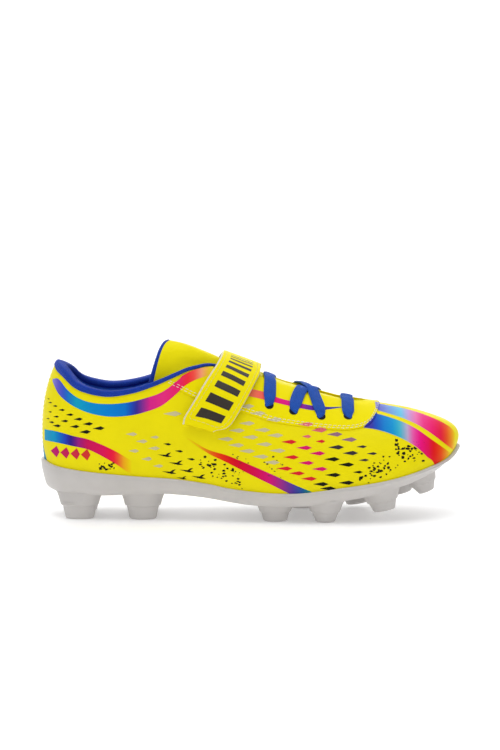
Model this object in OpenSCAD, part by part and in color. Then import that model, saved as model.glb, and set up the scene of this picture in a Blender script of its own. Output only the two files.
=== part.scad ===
// Child's soccer cleat, right shoe: moulded stud plate, one-piece yellow upper,
// padded tongue, knitted elastic lace and one hook-and-loop strap.
// Millimetres, +Z up, toe at +X, lateral side at -Y, ground at z = 0.

/* [Upper] */
// thickness of the printed upper panels
upper_t = 1.2; // [0.8:0.1:1.6]
// thickness of the eyestay overlay
overlay_t = 0.8; // [0.5:0.1:1.2]
// thickness of the knitted lining
lining_t = 0.6; // [0.4:0.1:1.0]
// extra swelling of the collar padding
collar_pad = 2.2; // [1:0.1:3.5]
// depth of the collar binding below the topline
binding_drop = 2.1; // [1.5:0.1:4]

/* [Tongue] */
// half width of the sewn-in part of the tongue
tongue_w = 22.5; // [19:0.5:23]
// thickness of the tongue foam
tongue_foam_t = 2.4; // [1.5:0.1:3.5]

/* [Strap] */
// thickness of the strap skin
strap_t = 0.9; // [0.6:0.1:1.2]
// thickness of one half of the hook and loop closure
patch_t = 0.7; // [0.5:0.1:1.0]

/* [Lace] */
// width of the flat knitted elastic
lace_w = 6.7; // [5:0.1:8]
// thickness of the flat knitted elastic
lace_t = 2.2; // [1.6:0.1:2.3]
// radius of the lace holes
eyelet_r = 3; // [2.4:0.1:3.2]

/* [Sole] */
// thickness of the stud plate
plate_t = 3; // [2.4:0.1:3.4]
// thickness of the plate rim round the upper
rim_t = 2; // [1.4:0.1:2.2]
// thickness of the lasting board
board_t = 1.2; // [0.8:0.1:1.3]
// thickness of the sockliner foam
sock_t = 3; // [2:0.1:4]

/* [Hidden] */
gap = 0.3;
lift = 0.3;

// feather edge in plan: heel, lateral side, toe, medial side
plan = [[-109.2, 0], [-102.5, -15.5], [-86, -24.5], [-60, -27], [-30, -28.5],
    [0, -33], [30, -36.63], [60, -35.63], [86, -28], [104, -13],
    [110.42, 5], [104, 22], [86, 32], [60, 36.8], [30, 34],
    [0, 29], [-30, 26], [-60, 25.5], [-86, 24], [-102.5, 15.5]];
// underside of the plate along the shoe
bottom_z = [[-108, 17], [-100, 14.2], [-80, 13.4], [-60, 14.2], [-45, 14.6],
    [-25, 13], [-12, 11], [0, 9.4], [15, 9], [30, 9.3], [45, 11.5], [60, 14],
    [82, 19.5], [95, 24], [104, 28], [110, 32.5]];
// top edge of the plate rim along the shoe
rim_z = [[-112, 31.5], [-105, 29], [-95, 27.5], [-80, 26], [-60, 24.3],
    [-40, 23], [-22, 20.6], [-12, 18.6], [0, 17.2], [12, 16.4], [25, 16.6],
    [36, 17.8], [47, 19.4], [60, 21.1], [72, 23], [85, 26], [95, 29],
    [104, 32], [109, 35.5], [112, 39]];
// ridge of the instep and toe: place, sideways opening and height
top_x = [[0, -98.5], [0.1, -95.5], [0.2, -84], [0.3, -64], [0.4, -38], [0.5, -10],
    [0.6, 18], [0.7, 45], [0.8, 68], [0.9, 84], [1, 90]];
top_y = [[0, 0], [0.1, 13], [0.2, 21], [0.3, 19], [0.35, 9], [0.4, 0], [1, 0]];
top_z = [[-102, 92], [-84, 93], [-63, 95], [-43, 94.6], [-32, 91], [-22, 87.4],
    [-14, 84.8], [-2.4, 80.4], [4, 77.8], [12, 74.3], [18, 72], [24, 70.2],
    [30, 68.2], [39, 65.4], [46, 63.5], [58.6, 61.2], [71.5, 59.3], [84, 57.2],
    [97, 53.8]];
ridge_y = [[-107, 0], [-40, 0], [-20, 0.4], [0, 2], [60, 4], [110, 5]];
// fullness of the ribs low down and near the ridge
low_out = [[0, 5], [0.1, 4.8], [0.2, 3.5], [0.4, 2], [0.6, 4], [0.8, 4], [1, 4]];
low_up = [[0, 28], [0.2, 30], [0.3, 34], [0.4, 42], [0.5, 36], [0.6, 28],
    [0.7, 21], [0.8, 15], [0.9, 11], [1, 9.5]];
high_out = [[0, 13.5], [0.1, 8], [0.2, 4], [0.3, 9], [0.4, 24], [0.5, 25],
    [0.7, 25], [0.8, 24], [0.9, 23], [1, 22]];
high_down = [[0, 19], [0.2, 25], [0.3, 16], [0.4, 0], [1, 0]];
// collar edge, lace opening and eyestay seam
topline = [[-104, 81.5], [-99, 78], [-93, 72.7], [-86, 69.8], [-75, 68], [-62, 69.7],
    [-50, 73.4], [-40, 77.5], [-32, 80.6], [-22, 82], [-14, 82]];
mouth = [[-24, 15.8], [-14, 14.8], [5, 13], [26, 11], [46, 9.5], [54, 8], [59, 5],
    [62, 0], [80, 0]];
seam = [[-47, 74.8], [-35, 68.3], [-26.5, 64.6], [-5.4, 58.7], [11.5, 53.4], [23.6, 51.3], [38, 49.6],
    [48, 48.8], [54, 49], [59, 49.9], [64, 52.5], [68, 58], [70, 62]];
// swelling of the collar padding by depth below the topline and by place
pad_h = [[-4, 0.6], [0, 0.7], [4, 0.9], [10, 1], [17, 0.6], [23, 0], [60, 0]];
pad_l = [[0, 1], [0.3, 0.9], [0.44, 0.1], [0.5, 0], [1, 0]];
// inset of the plate underside from the feather edge
under_in = [[0, 3.2], [0.1, 3.2], [0.2, 3], [0.5, 2], [0.8, 3], [1, 4.5]];
// how much lower the underside hangs at the back of the heel, by x
under_drop = [[-109.2, 3], [-103, 1.6], [-95, 0.4], [-88, 0], [112, 0]];
// strap edges: place along the shoe by height on the side
rear_t = [[0.25, 0.368], [0.4, 0.403], [0.6, 0.436], [0.8, 0.464], [1, 0.482]];
front_t = [[0.25, 0.45], [0.4, 0.478], [0.6, 0.51], [0.8, 0.535], [1, 0.549]];
rear_v = [[0, 1], [0.25, 0.85], [0.5, 0.68], [0.75, 0.49], [1, 0.3]];
front_v = [[0, 1], [0.25, 0.8], [0.5, 0.6], [0.75, 0.43], [1, 0.285]];

// stations from heel to toe on one side
tt = [0, 0.03, 0.06, 0.09, 0.12, 0.15, 0.18, 0.21, 0.24, 0.27, 0.3, 0.35, 0.375, 0.4, 0.44, 0.48, 0.52,
    0.56, 0.6, 0.64, 0.68, 0.71, 0.735, 0.755, 0.775, 0.8, 0.835, 0.87, 0.905,
    0.94, 0.97, 1];
throat = 0.775;
lace_t_at = [0.5445, 0.589, 0.639, 0.691];
lace_z_at = [61.5, 58.2, 55.4, 54.8];

function unit(a) = a / norm(a);
function mix(a, b, w) = a * (1 - w) + b * w;
function slope_at(k, i, e) = i == 0
    ? e * (k[1][1] - k[0][1]) / (k[1][0] - k[0][0])
    : i == len(k) - 1
    ? e * (k[i][1] - k[i - 1][1]) / (k[i][0] - k[i - 1][0])
    : (k[i + 1][1] - k[i - 1][1]) / (k[i + 1][0] - k[i - 1][0]);
function seg(k, x, i = 0) = i >= len(k) - 2 || x < k[i + 1][0] ? i : seg(k, x, i + 1);
// smooth curve through [x, y] knots; e = 0 levels both ends
function curve(k, x0, e = 1) =
    let(x = min(max(x0, k[0][0]), k[len(k) - 1][0]), i = seg(k, x),
        h = k[i + 1][0] - k[i][0], u = (x - k[i][0]) / h, u2 = u * u, u3 = u2 * u)
    k[i][1] * (2 * u3 - 3 * u2 + 1) + k[i + 1][1] * (3 * u2 - 2 * u3)
    + h * (slope_at(k, i, e) * (u3 - 2 * u2 + u) + slope_at(k, i + 1, e) * (u3 - u2));
// point on the closed plan curve
function ring(j) =
    let(n = len(plan), i = floor(j), u = j - i, a = plan[(i - 1 + n) % n],
        b = plan[(i + n) % n], c = plan[(i + 1) % n], d = plan[(i + 2) % n])
    0.5 * (2 * b + (c - a) * u + (2 * a - 5 * b + 4 * c - d) * u * u
        + (3 * b - a - 3 * c + d) * u * u * u);
function ring_out(j) =
    let(d = unit(ring(j + 0.01) - ring(j - 0.01 + (j < 0.01 ? 20 : 0)))) [d[1], -d[0]];
function wrap(u) = u - 2 * floor(u / 2);
// one rib of the upper: u 0 heel, 0..1 lateral, 1 toe, 1..2 medial
function rib(u0) =
    let(u = wrap(u0), side = u <= 1 ? -1 : 1, t = u <= 1 ? u : 2 - u, b = ring(10 * u),
        o = ring_out(10 * u), x = curve(top_x, t, 0), s = curve(top_z, x + 0.5) - curve(top_z, x - 0.5),
        q = [x, curve(ridge_y, x) + side * max(0, curve(top_y, t))],
        d = unit(b - q), h = curve(high_out, t, 0), l = curve(low_out, t, 0),
        p0 = [b[0], b[1], curve(bottom_z, b[0]) + 3.6], p3 = [q[0], q[1], curve(top_z, x)],
        p1 = p0 + [o[0] * l, o[1] * l, curve(low_up, t, 0)],
        p2 = p3 + [d[0] * h, d[1] * h, d[0] * s * h * min(1, h / 10) - curve(high_down, t, 0)])
    [p0, p1, p2, p3];
function bez(r, v) =
    let(w = 1 - v) r[0] * w * w * w + r[1] * 3 * v * w * w + r[2] * 3 * v * v * w + r[3] * v * v * v;
function facing(u, v) =
    let(w = min(v, 0.985), a = rib(u - 0.004), b = rib(u + 0.004), r = rib(u))
    unit(cross(bez(b, w) - bez(a, w), bez(r, w + 0.01) - bez(r, w - 0.01)));
// point and outward direction of the upper surface
function surf(u, v) = v > 0.999
    ? [bez(rib(u), 1), unit(facing(u, 1) + facing(2 - u, 1))]
    : [bez(rib(u), v), facing(u, v)];
function shift(s, off) = s[0] + s[1] * off;
function find(r, g, lo = 0, hi = 1, n = 12) =
    n == 0 ? (lo + hi) / 2
    : let(m = (lo + hi) / 2)
    g(bez(r, m)) > 0 ? find(r, g, lo, m, n - 1) : find(r, g, m, hi, n - 1);
function snap(v) = v > 0.996 ? 1 : v;
function fold(u) = u <= 1 ? u : 2 - u;
// heights on a rib: collar or mouth edge, seam, level above the floor, distance from ridge
function edge_v(u) = fold(u) < 0.44
    ? find(rib(u), function(p) p[2] - curve(topline, p[0]))
    : snap(find(rib(u), function(p) curve(mouth, p[0]) - abs(p[1] - curve(ridge_y, p[0])) - 0.001));
function depth_v(u, h) = find(rib(u), function(p) p[2] - curve(topline, p[0]) + h);
function seam_v(u) = snap(find(rib(u), function(p) p[2] - curve(seam, p[0])));
function floor_v(u, h) = find(rib(u), function(p) p[2] - curve(bottom_z, p[0]) - plate_t - h);
function across_v(u, w) = snap(find(rib(u), function(p) w - abs(p[1] - curve(ridge_y, p[0]))));
function level_v(u, z) = find(rib(u), function(p) p[2] - z);
// place on the upper at a given length and distance from the ridge
function spot(x, w, side, t = -1, n = 6) =
    t < 0 ? spot(x, w, side, 0.54 + x / 285, n)
    : let(u = side < 0 ? t : 2 - t, v = w < 0.02 ? 1 : across_v(u, w))
    n == 0 ? [u, v] : spot(x, w, side, min(0.98, t + (x - bez(rib(u), v)[0]) / 285), n - 1);
function spot_xy(p) = let(d = p[1] - curve(ridge_y, p[0])) spot(p[0], abs(d), d < 0 ? -1 : 1);
function pad(u, v) =
    let(p = bez(rib(u), v)) collar_pad * curve(pad_l, fold(u), 0) * curve(pad_h, curve(topline, p[0]) - p[2]);

// closed solid between an outer and an inner net of points; c folds the net at the toe
module skin(o, n, c = -1, top = []) {
    m = len(o[0]);
    k = len(o);
    base = k * m;
    id = function(i, j) (c >= 0 && j == m - 1 && i > c && top[i] ? 2 * c - i : i) * m + j;
    shut = function(i) len(top) > 0 && top[i] && top[i + 1];
    body = [for (i = [0:k - 2], j = [0:m - 2])
        let(a = id(i, j), b = id(i, j + 1), e = id(i + 1, j + 1), d = id(i + 1, j))
        each [[a, b, e], [a, e, d], [base + a, base + e, base + b], [base + a, base + d, base + e]]];
    low = [for (i = [0:k - 2]) let(a = id(i, 0), d = id(i + 1, 0))
        each [[a, d, base + d], [a, base + d, base + a]]];
    high = [for (i = [0:k - 2]) if (!shut(i)) let(b = id(i, m - 1), e = id(i + 1, m - 1))
        each [[e, b, base + b], [e, base + b, base + e]]];
    ends = [for (j = [0:m - 2]) let(a = id(0, j), b = id(0, j + 1), d = id(k - 1, j), e = id(k - 1, j + 1))
        each [[b, a, base + a], [b, base + a, base + b], [d, e, base + e], [d, base + e, base + d]]];
    polyhedron(points = [for (r = o, p = r) p, for (r = n, p = r) p], faces = concat(body, low, high, ends));
}
// net over [u, v] places, moved out by off(u, v)
function net(cells, off) = [for (r = cells) [for (c = r) shift(surf(c[0], c[1]), off(c[0], c[1]))]];
function flat_net(cells, off) = net(cells, function(u, v) off);
function band(us, lo, hi, m) =
    [for (u = us) let(a = lo(u), b = hi(u)) [for (j = [0:m]) [u, j == m ? b : mix(a, b, j / m)]]];
function lateral(t0, t1) = [for (t = tt) if (t >= t0 - 0.001 && t <= t1 + 0.001) t];
function medial(t0, t1) = [for (i = [len(tt) - 1:-1:0]) if (tt[i] >= t0 - 0.001 && tt[i] <= t1 + 0.001) 2 - tt[i]];
function heel_band(t1) = concat([for (u = medial(0.001, t1)) u - 2], lateral(0, t1));

// lace hole through the layers of the eyestay
module eyelet(i, side) {
    u = side < 0 ? lace_t_at[i] : 2 - lace_t_at[i];
    s = surf(u, level_v(u, lace_z_at[i]));
    hull() {
        translate(shift(s, 4))
            sphere(r = eyelet_r, $fn = 10);
        translate(shift(s, -6))
            sphere(r = eyelet_r, $fn = 10);
    }
}
module eyelets() {
    for (i = [0:3], side = [-1, 1])
        eyelet(i, side);
}

module vamp() {
    us = concat(lateral(0, 1), medial(0.6, 0.97));
    c = len(lateral(0, 1)) - 1;
    cells = band(us, function(u) 0, function(u) edge_v(u), 9);
    color("gold")
        difference() {
            skin(flat_net(cells, 0), flat_net(cells, -upper_t), c,
                [for (u = us) fold(u) > throat - 0.001]);
            eyelets();
        }
}
module medial_quarter() {
    us = concat([1.403], medial(0.02, 0.56), [1.9975]);
    cells = band(us, function(u) 0, function(u) edge_v(u), 8);
    color("gold")
        difference() {
            skin(flat_net(cells, 0), flat_net(cells, -upper_t));
            eyelets();
        }
}
// places across the eyestay, from its seam to the lace opening
function stay(grow_lo, grow_hi, from) =
    let(side = lateral(from, 0.775),
        leg = [for (t = side) [t, seam_v(t + 0.025 * max(0, (t - 0.7) / 0.075)) + grow_lo, t + 0.025 * max(0, (t - 0.7) / 0.075)]])
    concat(
        [for (r = leg) if (r[0] < 0.774) stay_row(r, grow_hi, 1)],
        [[for (j = [0:6]) [mix(0.803, throat + 0.004, j / 6), 1]]],
        [for (i = [len(leg) - 1:-1:0]) if (leg[i][0] < 0.774) stay_row(leg[i], grow_hi, -1)]);
function stay_row(r, grow, s) =
    let(hi = max(edge_v(r[0]) - max(grow, r[0] < 0.5 ? 0.045 : 0), r[1] + 0.01))
    [for (j = [0:6]) let(u = mix(r[2], r[0], j / 6)) [s > 0 ? u : 2 - u, mix(r[1], hi, j / 6)]];
module eyestay() {
    cells = stay(0, 0.003, 0.375);
    color("yellow")
        difference() {
            skin(flat_net(cells, lift + overlay_t), flat_net(cells, lift));
            eyelets();
        }
}
module eyestay_backing() {
    cells = stay(0.03, 0.003, 0.4);
    color("khaki")
        difference() {
            skin(flat_net(cells, -upper_t - 0.35), flat_net(cells, -upper_t - 1));
            eyelets();
        }
}
module heel_counter() {
    cells = band(heel_band(0.25), function(u) floor_v(u, 1.8), function(u) depth_v(u, 24), 5);
    color("dimgray")
        skin(flat_net(cells, -upper_t - gap), flat_net(cells, -upper_t - gap - 1));
}
module toe_puff() {
    us = concat(lateral(0.87, 1), medial(0.87, 0.97));
    c = len(lateral(0.87, 1)) - 1;
    cells = band(us, function(u) floor_v(u, 1.8), function(u) 1, 7);
    color("dimgray")
        skin(flat_net(cells, -upper_t - gap), flat_net(cells, -upper_t - gap - 0.8), c, [for (u = us) true]);
}
module collar_foam() {
    cells = band(heel_band(0.4), function(u) depth_v(u, 23), function(u) depth_v(u, 1.5), 5);
    color("lightsteelblue")
        skin(flat_net(cells, -upper_t - gap), net(cells, function(u, v) -upper_t - gap - 0.9 - pad(u, v)));
}
module quarter_lining() {
    cells = band(heel_band(0.44), function(u) floor_v(u, 1.8), function(u) depth_v(u, 0.5), 9);
    color("royalblue")
        skin(net(cells, function(u, v) -upper_t - gap * 2 - 1 - pad(u, v)),
            net(cells, function(u, v) -upper_t - gap * 2 - 1 - lining_t - pad(u, v)));
}
module vamp_lining() {
    us = concat(lateral(0.48, 1), medial(0.48, 0.97));
    c = len(lateral(0.48, 1)) - 1;
    cells = band(us, function(u) floor_v(u, 1.8), function(u) fold(u) > 0.799 ? 1 : seam_v(u) - 0.01, 8);
    color("royalblue")
        skin(flat_net(cells, -upper_t - gap * 2 - 1), flat_net(cells, -upper_t - gap * 2 - 1 - lining_t), c,
            [for (u = us) fold(u) > 0.799]);
}
// rolled binding round the collar
module topline_binding() {
    us = concat([for (u = medial(0.001, 0.48)) u - 2], lateral(0, 0.48));
    rows = [for (u = us) let(v = edge_v(u), s = surf(u, v), up = unit(bez(rib(u), v + 0.02) - bez(rib(u), v - 0.02)),
            w = fold(u) > 0.46 ? 0.9 : upper_t + gap * 2 + 1 + lining_t + pad(u, v), d = binding_drop * curve([[0, 0.5], [0.1, 1], [0.25, 0.85], [0.48, 0.6]], fold(u), 0))
        [for (q = [[0.2, -d], [0.75, 0.2 - d], [0.95, -0.2], [0.55, 1.1], [-0.6, 1.9],
                [-w / 2, 2.2], [0.6 - w, 1.9], [-w - 0.6, 1.1], [-w - 1.1, -0.2], [-w - 1.15, -d],
                [-w - 0.55, -d], [-w - 0.45, 0.35], [0.2, 0.35]])
            s[0] + s[1] * q[0] + up * q[1]]];
    color("mediumblue")
        sweep(rows, false);
}
// closed tube through rings of points
module sweep(rows, round) {
    k = len(rows);
    m = len(rows[0]);
    walls = [for (i = [0:round ? k - 1 : k - 2], j = [0:m - 1])
        let(a = i * m + j, b = i * m + (j + 1) % m, i2 = (i + 1) % k, d = i2 * m + j, e = i2 * m + (j + 1) % m)
        each [[a, b, e], [a, e, d]]];
    caps = round ? [] : [[for (j = [m - 1:-1:0]) j], [for (j = [0:m - 1]) (k - 1) * m + j]];
    polyhedron(points = [for (r = rows, p = r) p], faces = concat(walls, caps));
}

// fixed front part of the tongue
tongue_base_x = [-23.4, -14, -4, 7, 18, 29, 40, 50, 58, 66];
function dip(a, x) = curve([[-30, 0.7], [-22, 0.7], [-8, 2.4], [40, 2.4], [56, 4.1], [70, 4.3]], x, 0)
    + curve([[-24, 7.1], [-20, 7], [-8, 5], [3, 3], [70, 3]], x, 0) * curve([[0, 0], [0.15, 0], [0.58, 1], [1, 1]], abs(a), 0);
function tongue_row(x, off, m = 6) =
    [for (j = [-m:m]) let(c = spot(x, tongue_w * min(1, abs(j) / m), j < 0 ? -1 : 1))
        shift(surf(c[0], c[1]), -dip(j / m, x) - off)];
module tongue_base(o0, o1) {
    skin([for (x = tongue_base_x) tongue_row(x, o0)], [for (x = tongue_base_x) tongue_row(x, o1)]);
}
module tongue_base_skin() {
    color("gold")
        tongue_base(0, 0.6);
}
module tongue_base_foam() {
    color("lightyellow")
        tongue_base(0.7, 0.7 + tongue_foam_t);
}
module tongue_base_lining() {
    color("royalblue")
        tongue_base(0.8 + tongue_foam_t, 0.8 + tongue_foam_t + lining_t);
}
// free rear end of the tongue, from the section behind the strap to its rounded top
function tongue_tip(a, off) =
    let(e = 90 * abs(a), w = tongue_w - 9.1 - off, s = sign(a))
    [-42.2 - 10.8 * pow(a * a + 0.004, 0.34) + off * 0.35, s * w * sin(e) - 0.9, 94.2 - off - (22 - off) * (1 - cos(e))];
module tongue_top(o0, o1, m = 6) {
    row = function(off) let(r = tongue_row(-24.2, off)) [for (j = [2 * m:-1:0]) r[j]];
    lip = function(off) [for (j = [m:-1:-m]) tongue_tip(j / m, off)];
    rows = function(off) let(r = row(off), l = lip(off))
        [for (w = [0, 0.2, 0.4, 0.6, 0.8, 1])
            [for (j = [0:2 * m]) mix(r[j], l[j], w) + [0, 0, 0.9 * sin(180 * w)]]];
    skin(rows(o0), rows(o1));
}
module tongue_top_skin() {
    color("gold")
        tongue_top(0, 0.6);
}
module tongue_top_foam() {
    color("lightyellow")
        tongue_top(0.7, 0.7 + tongue_foam_t);
}
module tongue_top_lining() {
    color("royalblue")
        tongue_top(0.8 + tongue_foam_t, 0.8 + tongue_foam_t + lining_t);
}

// strap: q 0 on the ridge, 1 at the free tip (lateral) or the sewn end (medial)
function strap_uv(q, side, w) =
    let(a = curve(rear_v, q), b = curve(front_v, q), v = mix(a, b, w), t = mix(curve(rear_t, a), curve(front_t, b), w))
    [side < 0 ? t : 2 - t, q == 0 ? 1 : v];
function strap_row(q, w0 = 0, w1 = 1) =
    [for (j = [5:-1:0]) strap_uv(abs(q), q > 0 ? -1 : 1, mix(w0, w1, j / 5))];
module strap_piece(qs, o1, o0, w0 = 0, w1 = 1) {
    cells = [for (q = qs) strap_row(q, w0 + tip_in(q)[0], w1 - tip_in(q)[1])];
    skin(flat_net(cells, o1), flat_net(cells, o0));
}
// rounded corners at the free end
function tip_in(q) = [curve([[-2, 0], [0.9, 0], [0.96, 0.01], [1, 0.07]], q, 0), curve([[-2, 0], [0.82, 0], [0.93, 0.06], [1, 0.25]], q, 0)];
strap_lo = lift + overlay_t + gap;
strap_hi = strap_lo + 2 * patch_t + 0.2;
bridge_q = [0.4, 0.32, 0.24, 0.16, 0.08, 0, -0.08, -0.16, -0.24, -0.32, -0.42, -0.52, -0.62, -0.72];
tab_q = [1, 0.97, 0.93, 0.88, 0.8, 0.7, 0.6, 0.52, 0.43];
anchor_q = [-0.75, -0.82, -0.9, -0.98];
function anchor_o(v) = mix(0.2, strap_hi, min(1, max(0, (v - 0.37) / 0.15)));
module strap_anchor() {
    color("gold")
        skin(net([for (q = anchor_q) strap_row(q)], function(u, v) anchor_o(v) + strap_t + 0.6),
            net([for (q = anchor_q) strap_row(q)], function(u, v) anchor_o(v)));
}
module strap_bridge() {
    color("gold")
        strap_piece(bridge_q, strap_hi + strap_t + 0.6, strap_hi + 0.6);
}
module strap_bridge_backing() {
    color("white")
        strap_piece(bridge_q, strap_hi + 0.5, strap_hi);
}
module strap_tab() {
    color("gold")
        strap_piece(tab_q, strap_hi + strap_t + 0.6, strap_hi + 0.6);
}
module strap_tab_backing() {
    color("white")
        strap_piece(tab_q, strap_hi + 0.5, strap_hi);
}
module hook_patch() {
    color("silver")
        strap_piece([0.95, 0.88, 0.8, 0.72, 0.64], strap_hi - 0.1, strap_hi - 0.1 - patch_t, 0.12, 0.85);
}
module loop_patch() {
    color("beige")
        strap_piece([1, 0.95, 0.9, 0.85, 0.8], 0.1 + patch_t, 0.1, 0.06, 0.94);
}

// stations along one strand of lace over the tongue
lace_w_at = [0, 0.03, 0.065, 0.11, 0.17, 0.24, 0.31, 0.4, 0.5, 0.6, 0.69, 0.76, 0.83, 0.89, 0.935, 0.97, 1];
// lace: section half width and half thickness along one closed path
function lace_frame(u, v, off, dir, w) =
    let(s = surf(u, v), a = unit(bez(rib(u + 0.01), min(v, 0.98)) - bez(rib(u - 0.01), min(v, 0.98))), b = cross(s[1], a))
    [shift(s, off), dir == 0 ? (u > 1 ? -a : a) : dir == 1 ? b : unit(a * (u > 1 ? -1 : 1) + b), w];
function eye_uv(i, side) =
    let(u = side < 0 ? lace_t_at[i] : 2 - lace_t_at[i]) [u, level_v(u, lace_z_at[i])];
// over the tongue from one eyelet to another
function eye_xy(i, side) = let(c = eye_uv(i, side), p = bez(rib(c[0]), c[1])) [p[0], p[1]];
function over_run(i, si, k, sk, lift) =
    let(a = eye_xy(i, si), b = eye_xy(k, sk), up = lift + overlay_t + 0.5 + lace_t / 2)
    [for (w = lace_w_at) let(m = mix(a, b, w), c = spot_xy(m), h = 1 - abs(2 * w - 1), e = min(1, h * 5),
            f = abs(m[1] - curve(ridge_y, m[0])) / curve(mouth, m[0] + 3.5))
        [c[0], c[1], mix(1.3, mix(-0.9, up, curve([[0, 0], [0.2, 0], [0.8, 1], [1, 1]], f, 0)), min(1, e * 2.2))
            + lift * curve([[0, 0], [0.5, 0], [0.8, 1], [1, 1]], h, 0), mix(1.5, lace_w / 2, e)]];
function under_run(i, k, side) =
    let(a = eye_uv(i, side), b = eye_uv(k, side))
    [for (n = [0:6]) let(w = n / 6, e = sin(180 * w)) [mix(a[0], b[0], w), mix(a[1], b[1], w), mix(-1.6, -3.95, min(1, e * 1.6)), 1.5]];
lace_path = concat(
    over_run(0, -1, 0, 1, 0), under_run(0, 1, 1), over_run(1, 1, 2, -1, lace_t + 0.4),
    under_run(2, 3, -1), over_run(3, -1, 3, 1, 0), under_run(3, 2, 1),
    over_run(2, 1, 1, -1, 0), under_run(1, 0, -1));
module elastic_lace() {
    pos = [for (p = lace_path) shift(surf(p[0], p[1]), p[2])];
    up = [for (p = lace_path) surf(p[0], p[1])[1]];
    n = len(pos);
    along = [for (i = [0:n - 1]) unit(pos[(i + 1) % n] - pos[(i + n - 1) % n])];
    rows = [for (i = [0:n - 1])
        let(n0 = unit(up[i] - along[i] * (up[i] * along[i]) * 0.98), b = unit(cross(along[i], n0)), c = cross(b, along[i]),
            w = lace_path[i][3], h = min(lace_t / 2, w))
        [for (q = [[-1, 0], [-0.8, -0.75], [0, -1], [0.8, -0.75], [1, 0], [0.8, 0.75], [0, 1], [-0.8, 0.75]])
            pos[i] + b * w * q[0] + c * h * q[1]]];
    color("dodgerblue")
        sweep(rows, true);
}

// plate shaped slab lying on the plate floor
module slab(inset, z0, z1) {
    us = [for (i = [0:24]) i / 24];
    side = function(u) let(p = ring(10 * u) - ring_out(10 * u) * inset) p;
    rows = [for (u = us) let(a = side(u), b = side(2 - u - (u == 0 ? 0.0001 : 0)))
        [for (w = u == 0 || u == 1 ? [0.48, 0.49, 0.5, 0.51, 0.52] : [0, 0.25, 0.5, 0.75, 1])
            let(p = u == 0 || u == 1 ? [a[0], a[1] + (w - 0.5) * 60] : mix(a, b, w)) [p[0], p[1], curve(bottom_z, p[0]) + plate_t]]];
    skin([for (r = rows) [for (p = r) p + [0, 0, z1]]], [for (r = rows) [for (p = r) p + [0, 0, z0]]]);
}
module insole_board() {
    color("wheat")
        slab(upper_t + 0.45, 0.4, 0.4 + board_t);
}
module sockliner_foam() {
    color("lightyellow")
        slab(4.2, 0.6 + board_t, 0.6 + board_t + sock_t);
}
module sockliner_cover() {
    color("royalblue")
        slab(4.2, 0.7 + board_t + sock_t, 1.4 + board_t + sock_t);
}

// stud: place, ground height, tilt, height to the plate, and half sizes at the base and tip
studs = [
    [-91, -14.5, 0, 0, 15, 12.3, 9, 7.7, 5], [-91, 14.5, 0, 0, 15, 12.3, 9, 7.7, 5],
    [-57.3, -16, 0, 0, 15, 11.7, 8.5, 7.3, 5], [-57.3, 16, 0, 0, 15, 11.7, 8.5, 7.3, 5],
    [13, -23.5, 0, 0, 10.2, 10.2, 8, 6.5, 5], [39.5, -27, 0, 0, 11.2, 9.7, 8, 5.4, 4.6],
    [71, -23.5, 5.6, 12, 11, 10.2, 7.5, 6, 4.6], [94.2, -9, 13.6, 22, 10, 8.8, 6.8, 4.6, 4],
    [28, 24, 0, 0, 10.4, 10, 8, 6.6, 5], [58.5, 26, 2, 9, 12, 9.7, 7.8, 6.2, 4.8],
    [83, 20, 8.6, 17, 11.5, 9.4, 7.2, 5.4, 4.4]];
module disc(a, b, z) {
    translate([0, 0, z])
        scale([a, b, 1])
            cylinder(r = 1, h = 0.05, $fn = 18);
}
module stud(s) {
    translate([s[0], s[1], s[2]])
        rotate([0, -s[3], 0]) {
            hull() {
                disc(s[5], s[6], s[4] + 0.6);
                disc(s[5] * 0.84, s[6] * 0.86, s[4] * 0.62);
                disc(s[5] * 0.79, s[6] * 0.8, s[4] * 0.5);
            }
            hull() {
                disc(s[5] * 0.74, s[6] * 0.74, s[4] * 0.55);
                disc(s[7], s[8], 1.2);
                disc(s[7] - 1.2, s[8] - 1.2, 0);
            }
        }
}
module outsole() {
    us = [for (i = [0:71]) i / 36];
    floor_z = function(x) curve(bottom_z, x) + plate_t;
    under = function(x) curve(bottom_z, x) - curve(under_drop, x);
    rows = [for (u = us)
        let(b = ring(10 * u), o = ring_out(10 * u), r = rib(u), n = facing(u, 0.04), k = curve(under_in, fold(u), 0),
            top_at = find(r, function(p) p[2] - curve(rim_z, p[0])), s = surf(u, top_at), sm = surf(u, top_at * 0.5),
            q0 = b - o * 9, q1 = b - o * k, q2 = b + o * 0.4, q3 = b - o * 9)
        [[q0[0], q0[1], under(q0[0])],
            [q1[0], q1[1], under(q1[0])],
            [q2[0], q2[1], under(q2[0]) + 2.6],
            shift(sm, 0.15 + rim_t * 0.9), shift(s, rim_t * 0.85) - [0, 0, 0.6], shift(s, rim_t * 0.5), shift(s, 0.15) - [0, 0, 0.15],
            shift(sm, 0.15),
            [b[0] + o[0] * 0.15, b[1] + o[1] * 0.15, floor_z(b[0])],
            [q3[0], q3[1], floor_z(q3[0])]]];
    m = len(rows[0]);
    k = len(us);
    walls = [for (i = [0:k - 1], j = [0:m - 2])
        let(a = i * m + j, b = a + 1, i2 = (i + 1) % k, d = i2 * m + j, e = d + 1)
        each [[a, b, e], [a, e, d]]];
    low = [for (i = [0:k / 2 - 1]) let(a = i, b = i + 1, c = (k - i) % k, d = k - i - 1) strip(a * m, b * m, c * m, d * m, false)];
    high = [for (i = [0:k / 2 - 1]) let(a = i, b = i + 1, c = (k - i) % k, d = k - i - 1)
        strip(a * m + m - 1, b * m + m - 1, c * m + m - 1, d * m + m - 1, true)];
    color("gainsboro")
        union() {
            polyhedron(points = [for (r = rows, p = r) p],
                faces = concat(walls, [for (s = low, f = s) f], [for (s = high, f = s) f]));
            for (s = studs)
                stud(s);
        }
}
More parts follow.
